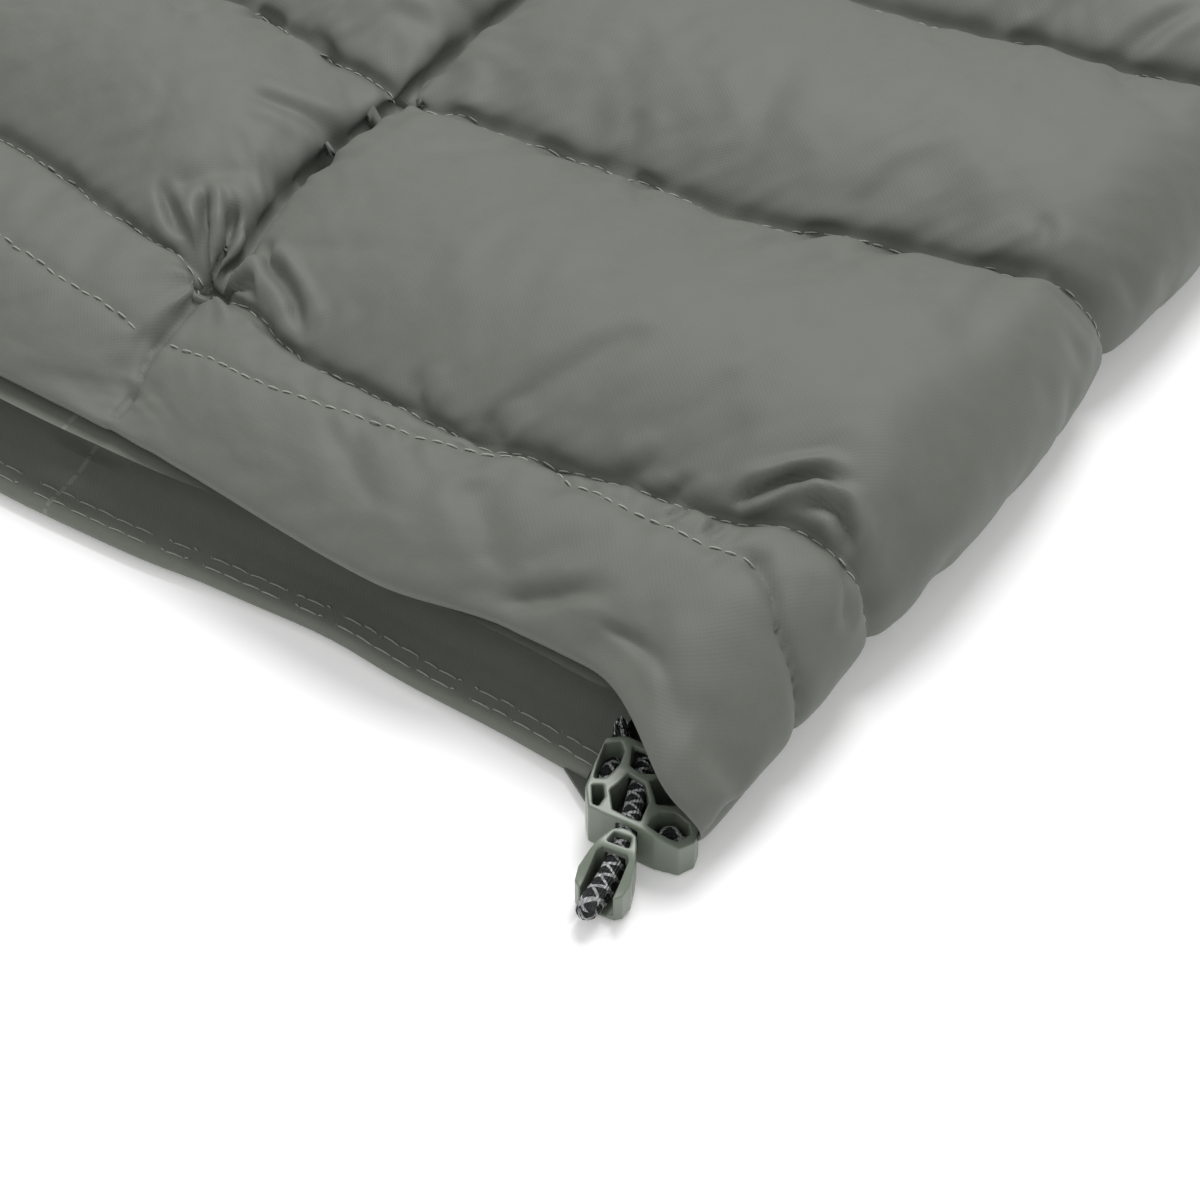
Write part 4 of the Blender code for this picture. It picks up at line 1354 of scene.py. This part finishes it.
corner_lines = straight_seams((ACROSS_SEAMS[0], CORNER_ACROSS[-1]), (0, CORNER_ALONG[-1]))
cross_lines = [line for line in corner_lines if line[0][1] == line[1][1]]
corner_stitches = stitches("corner_stitches", corner_shell, cross_lines + CHANNELS, thread_look)
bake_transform(corner_stitches)
EDGE_ROWS = [[(LINING_START, row), (WIDTH - 0.014, row)] for row in (0.0032, 0.0056)]
edge_stitches = stitches("foot_edge_stitches", lower_lining, EDGE_ROWS, pale_thread)
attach(edge_stitches, "lower_leaf")

# %% [markdown]
# ## The cord adjuster
# The adjuster is one moulding: thin rounded ribs round open cells, on a thin floor. Outline and
# cells are drawn as flat polygons, extruded, and cut from each other. A voxel remesh with some
# smoothing then rounds every edge the way a moulding's edges are rounded.

# %% Cage: outline and cells, in millimetres across and back along the cord
CORD_TURN = math.radians(22)
CORD_LINE = Vector((FOLD_X - 0.015, FOOT_Y - 0.001, 0.0))
CAGE_OUTLINE = [
    (-4.2, -5.5), (-0.2, -6.6), (4.6, -8.2), (8.6, -8.6), (10.8, -6.6), (11.0, -4.0), (8.4, 1.6),
    (6.0, 6.8), (0.5, 8.9), (-3.6, 9.6), (-6.4, 8.6), (-7.4, 4.0), (-7.8, -1.0), (-6.6, -4.6),
]
CAGE_CELLS = [
    [
        (-1.7, 3.2), (-2.8, 1.0), (-3.9, -0.6), (-2.7, -4.4),
        (0.2, -5.5), (2.0, -5.9), (2.6, -1.6), (1.2, 1.8),
    ],
    [(-1.7, 4.6), (-2.0, 7.9), (1.0, 7.8), (4.6, 6.2), (2.4, 4.0), (0.4, 3.6)],
    [(1.9, 2.4), (3.6, 3.9), (5.8, 4.4), (7.0, 1.4), (6.6, -0.7), (3.8, -1.9)],
    [
        (3.5, -4.6), (4.6, -2.9), (6.8, -1.9), (9.2, -3.1),
        (9.8, -5.0), (8.0, -7.3), (5.0, -7.0), (3.2, -6.4),
    ],
    [(-6.4, 7.6), (-3.9, 8.4), (-3.0, 6.8), (-3.4, 4.6), (-5.0, 1.6), (-6.9, 1.2), (-6.9, 4.0)],
    [(-6.9, -0.2), (-5.1, 0.2), (-4.4, -2.2), (-5.0, -4.2), (-6.0, -3.9)],
]
CAGE_TOP = 0.0090
CAGE_FLOOR = 0.0016


def drawn_prism(name, outline, low, high):
    """A polygon in millimetres, extruded upwards from low to high."""
    bpy.ops.object.select_all(action="DESELECT")
    bpy.ops.mesh.primitive_circle_add(vertices=len(outline), radius=0.01, fill_type="NGON")
    piece = bpy.context.object
    piece.name = piece.data.name = name
    for vertex, (x, y) in zip(piece.data.vertices, outline):
        vertex.co = (x * MM, y * MM, low)
    bpy.ops.object.mode_set(mode="EDIT")
    bpy.ops.mesh.select_all(action="SELECT")
    bpy.ops.mesh.extrude_region_move(TRANSFORM_OT_translate={"value": (0, 0, high - low)})
    bpy.ops.mesh.select_all(action="SELECT")
    bpy.ops.mesh.normals_make_consistent(inside=False)
    bpy.ops.object.mode_set(mode="OBJECT")
    return piece


def long_slot(half):
    """The plan of a straight slot, longer than any piece it cuts."""
    return [(-half, -20), (half, -20), (half, 20), (-half, 20)]


def cut_out(piece, tool):
    select_only(piece)
    difference = piece.modifiers.new("opening", "BOOLEAN")
    difference.object = tool
    difference.solver = "EXACT"
    bpy.ops.object.modifier_apply(modifier="opening")
    bpy.data.objects.remove(tool, do_unlink=True)


def rounded(piece, voxel, passes, strength=0.5):
    """Remeshes a sharp block and smooths it, so that its edges look moulded."""
    select_only(piece)
    remesh = piece.modifiers.new("even_mesh", "REMESH")
    remesh.mode = "VOXEL"
    remesh.voxel_size = voxel
    bpy.ops.object.modifier_apply(modifier="even_mesh")
    softened = piece.modifiers.new("softened", "SMOOTH")
    softened.factor = strength
    softened.iterations = passes
    bpy.ops.object.modifier_apply(modifier="softened")


def onto_cord_line(piece, shift=(0, 0), turn=0.0):
    """Moves a piece from its own drawing onto the cord's line on the foot edge."""
    places = read_places(piece)
    drawn_x, drawn_y = places[:, 0].copy(), places[:, 1].copy()
    x = drawn_x * math.cos(turn) - drawn_y * math.sin(turn) + shift[0]
    y = drawn_x * math.sin(turn) + drawn_y * math.cos(turn) + shift[1]
    places[:, 0] = CORD_LINE.x + x * math.cos(CORD_TURN) - y * math.sin(CORD_TURN)
    places[:, 1] = CORD_LINE.y + x * math.sin(CORD_TURN) + y * math.cos(CORD_TURN)
    write_places(piece, places)


# %% Cage: moulding it
cage = drawn_prism("adjuster_moulding", CAGE_OUTLINE, 0.0003, CAGE_TOP)
for number, cell in enumerate(CAGE_CELLS):
    cut_out(cage, drawn_prism(f"cell_{number}", cell, CAGE_FLOOR, 2 * CAGE_TOP))
cut_out(cage, drawn_prism("cord_slot", long_slot(1.75), 0.0012, 0.0079))
rounded(cage, 0.00017, 5)
places = read_places(cage)
across, back = places[:, 0] / MM, places[:, 1] / MM
stretch = 1 + 0.16 * smooth((back - 3) / 6) * smooth((3 - across) / 6) - 0.26 * smooth((across - 2) / 8)
places[:, 2] = 0.0003 + (places[:, 2] - 0.0003) * stretch
write_places(cage, places)
onto_cord_line(cage)
dress(cage, plastic_look)
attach(cage, "lower_leaf")
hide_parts("adjuster_cage")
print("adjuster", len(cage.data.polygons), "faces")

# %% [markdown]
# ## The pull tab
# The tab is moulded in the same plastic. The doubled cord runs down inside it, shows in a small
# window and a long open one, and comes out at the end as a bight.

# %% Tab, drawn from its pivot
TAB_OUTLINE = [
    (-2.0, 1.3), (-0.8, 2.0), (0.8, 2.0), (2.0, 1.3), (2.8, -0.4), (3.7, -3.2), (4.4, -6.4),
    (4.0, -8.7), (3.0, -9.5), (-3.0, -9.5), (-4.0, -8.7), (-4.4, -6.4), (-3.7, -3.2), (-2.8, -0.4),
]
TAB_PLACE = (-0.3 * MM, -9.5 * MM)
TAB_LEAN = math.radians(-12)
tab = drawn_prism("tab_moulding", TAB_OUTLINE, 0.0006, 0.0086)
SMALL_WINDOW = [(-1.9, -1.3), (1.9, -1.3), (1.5, 0.8), (-1.5, 0.8)]
LONG_WINDOW = [(-2.7, -11), (2.7, -11), (2.7, -3.2), (2.1, -2.4), (-2.1, -2.4), (-2.7, -3.2)]
cut_out(tab, drawn_prism("small_window", SMALL_WINDOW, 0.003, 0.02))
cut_out(tab, drawn_prism("long_window", LONG_WINDOW, 0.0022, 0.02))
cut_out(tab, drawn_prism("tab_slot", long_slot(1.7), 0.0013, 0.0072))
flank = drawn_prism("flank_recess", [(-0.9, -5.2), (0.9, -5.4), (0.9, -1.6), (-0.2, -1.2)], 0.0022, 0.0060)
places = read_places(flank)
places[:, 0] += 4.7 * MM
write_places(flank, places)
cut_out(tab, flank)
rounded(tab, 0.00016, 5)
places = read_places(tab)
slope = 1 - 0.30 * smooth((-1 - places[:, 1] / MM) / 8.5)
places[:, 2] = 0.0006 + (places[:, 2] - 0.0006) * slope
write_places(tab, places)
onto_cord_line(tab, TAB_PLACE, TAB_LEAN)
dress(tab, plastic_look)
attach(tab, "tab")
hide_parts("pull_tab")
print("tab", len(tab.data.polygons), "faces")

# %% [markdown]
# ## The drawcord where it shows
# A braided cord reads as crossing bumps with a pale tracer yarn that spirals round it. The bumps
# are in the mesh, and the tracer is in the finish, on a UV map that runs round and along.

# %% A braided tube along a smooth path
CORD_SIDES = 24
CORD_STEP = 0.00035


def smooth_path(points, step):
    """Points every step along a Catmull-Rom curve through the given ones."""
    given = np.array(points, float)
    given = np.vstack([2 * given[0] - given[1], given, 2 * given[-1] - given[-2]])
    dense = []
    for a, b, c, d in zip(given, given[1:], given[2:], given[3:]):
        for t in np.linspace(0, 1, 24, endpoint=False):
            square, cube = 2 * a - 5 * b + 4 * c - d, 3 * b - a - 3 * c + d
            dense.append((2 * b + (c - a) * t + square * t**2 + cube * t**3) / 2)
    dense.append(given[-2])
    dense = np.array(dense)
    runs = np.r_[0, np.cumsum(np.linalg.norm(np.diff(dense, axis=0), axis=1))]
    wanted = np.linspace(0, runs[-1], max(4, int(runs[-1] / step)))
    return np.c_[[np.interp(wanted, runs, dense[:, k]) for k in range(3)]].T, wanted


def braided_cord(name, points, diameter):
    """points are (across, back, height) in millimetres from the cord's own line."""
    path, runs = smooth_path(np.array(points, float) * MM, CORD_STEP)
    heading = np.gradient(path, axis=0)
    heading /= np.linalg.norm(heading, axis=1)[:, None]
    side = np.cross(heading, (0.31, 0.17, 0.94))
    side /= np.linalg.norm(side, axis=1)[:, None]
    top = np.cross(side, heading)
    turns = np.linspace(0, 2 * math.pi, CORD_SIDES, endpoint=False)
    rings = []
    for place, s, t, run in zip(path, side, top, runs):
        from_end = min(run, runs[-1] - run)
        cap = math.sqrt(max(0.0, 1 - max(0.0, 1 - from_end / (diameter * 0.35)) ** 2))
        braid = np.sin(turns * 4 + run * 2600) * np.sin(turns * 4 - run * 2600)
        radius = diameter / 2 * (0.25 + 0.75 * cap) * (1 + 0.055 * braid)
        ring = place + (np.cos(turns) * radius)[:, None] * s + (np.sin(turns) * radius)[:, None] * t
        rings.append(ring)
    corners = np.vstack(rings)
    count = len(rings)
    faces, uvs = [], []
    for row in range(count - 1):
        for k in range(CORD_SIDES):
            a, b = row * CORD_SIDES + k, row * CORD_SIDES + (k + 1) % CORD_SIDES
            faces.append((a, b, b + CORD_SIDES, a + CORD_SIDES))
            left, right = k / CORD_SIDES, (k + 1) / CORD_SIDES
            uvs += [(left, runs[row]), (right, runs[row]), (right, runs[row + 1]), (left, runs[row + 1])]
    for ring, flip in ((0, True), (count - 1, False)):
        loop = [ring * CORD_SIDES + k for k in range(CORD_SIDES)]
        faces.append(tuple(loop[::-1] if flip else loop))
        uvs += [(k / CORD_SIDES, runs[ring]) for k in range(CORD_SIDES)]
    piece = closed_piece(name, [tuple(c) for c in corners], faces, uvs)
    dress(piece, braid_look)
    return piece


# %% The strands in the adjuster, in the tab and at the ends of the hem cord
CORD_DIAMETER = 0.0030
UPPER_STRAND, LOWER_STRAND = (6.3, 2.9)
slide = [
    (0, -7.2, LOWER_STRAND), (0, 4, LOWER_STRAND), (0.2, 14, 3.0), (0, 22, 3.3), (0, 26, 4.6),
    (0, 22, 5.9), (0.2, 14, 6.2), (0, 4, UPPER_STRAND), (0, -7.2, UPPER_STRAND),
]
sliding_cord = braided_cord("sliding_cord", slide, CORD_DIAMETER)
onto_cord_line(sliding_cord)
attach(sliding_cord, "cord_tail")
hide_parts("sliding_drawcord")
bight = [
    (0, 1.6, 2.9), (0, -4, 2.7), (-0.3, -8, 2.4), (-0.8, -10.4, 2.5), (-1.0, -11.3, 3.6),
    (-0.7, -10.6, 4.9), (-0.2, -8, 5.3), (0, -4, 5.6), (0, 1.6, 6.2),
]
bight_cord = braided_cord("bight_cord", bight, CORD_DIAMETER)
onto_cord_line(bight_cord, TAB_PLACE, TAB_LEAN)
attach(bight_cord, "tab")
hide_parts("drawcord_bight")
CELL_CORDS = {
    "channel_cord": [
        (-4.6, 11.5, 2.2), (-4.9, 8.6, 4.4), (-5.1, 5.6, 5.9), (-5.4, 3.4, 5.2), (-5.6, 2.6, 3.6),
    ],
    "cell_cord": [
        (5.0, -5.4, 2.4), (5.3, -4.9, 4.2), (6.4, -4.6, 5.0), (7.7, -4.6, 4.4), (8.1, -4.9, 2.6),
    ],
}
for name, path in CELL_CORDS.items():
    cord_end = braided_cord(name, path, CORD_DIAMETER * 0.95)
    onto_cord_line(cord_end)
    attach(cord_end, "lower_leaf")
print("cords made")

# %% Finishes for the CAD nodes that stay
KEPT_LOOKS = {
    "lower_drawcord": hidden_cord_look,
    "upper_drawcord": hidden_cord_look,
    "lower_bartack": thread_look,
    "upper_bartack": thread_look,
    "adjuster_anchor_tape": tape_look,
}
for node, look in KEPT_LOOKS.items():
    solid = frame["nodes"][node]
    for slot_number in range(len(solid.material_slots)):
        solid.material_slots[slot_number].material = look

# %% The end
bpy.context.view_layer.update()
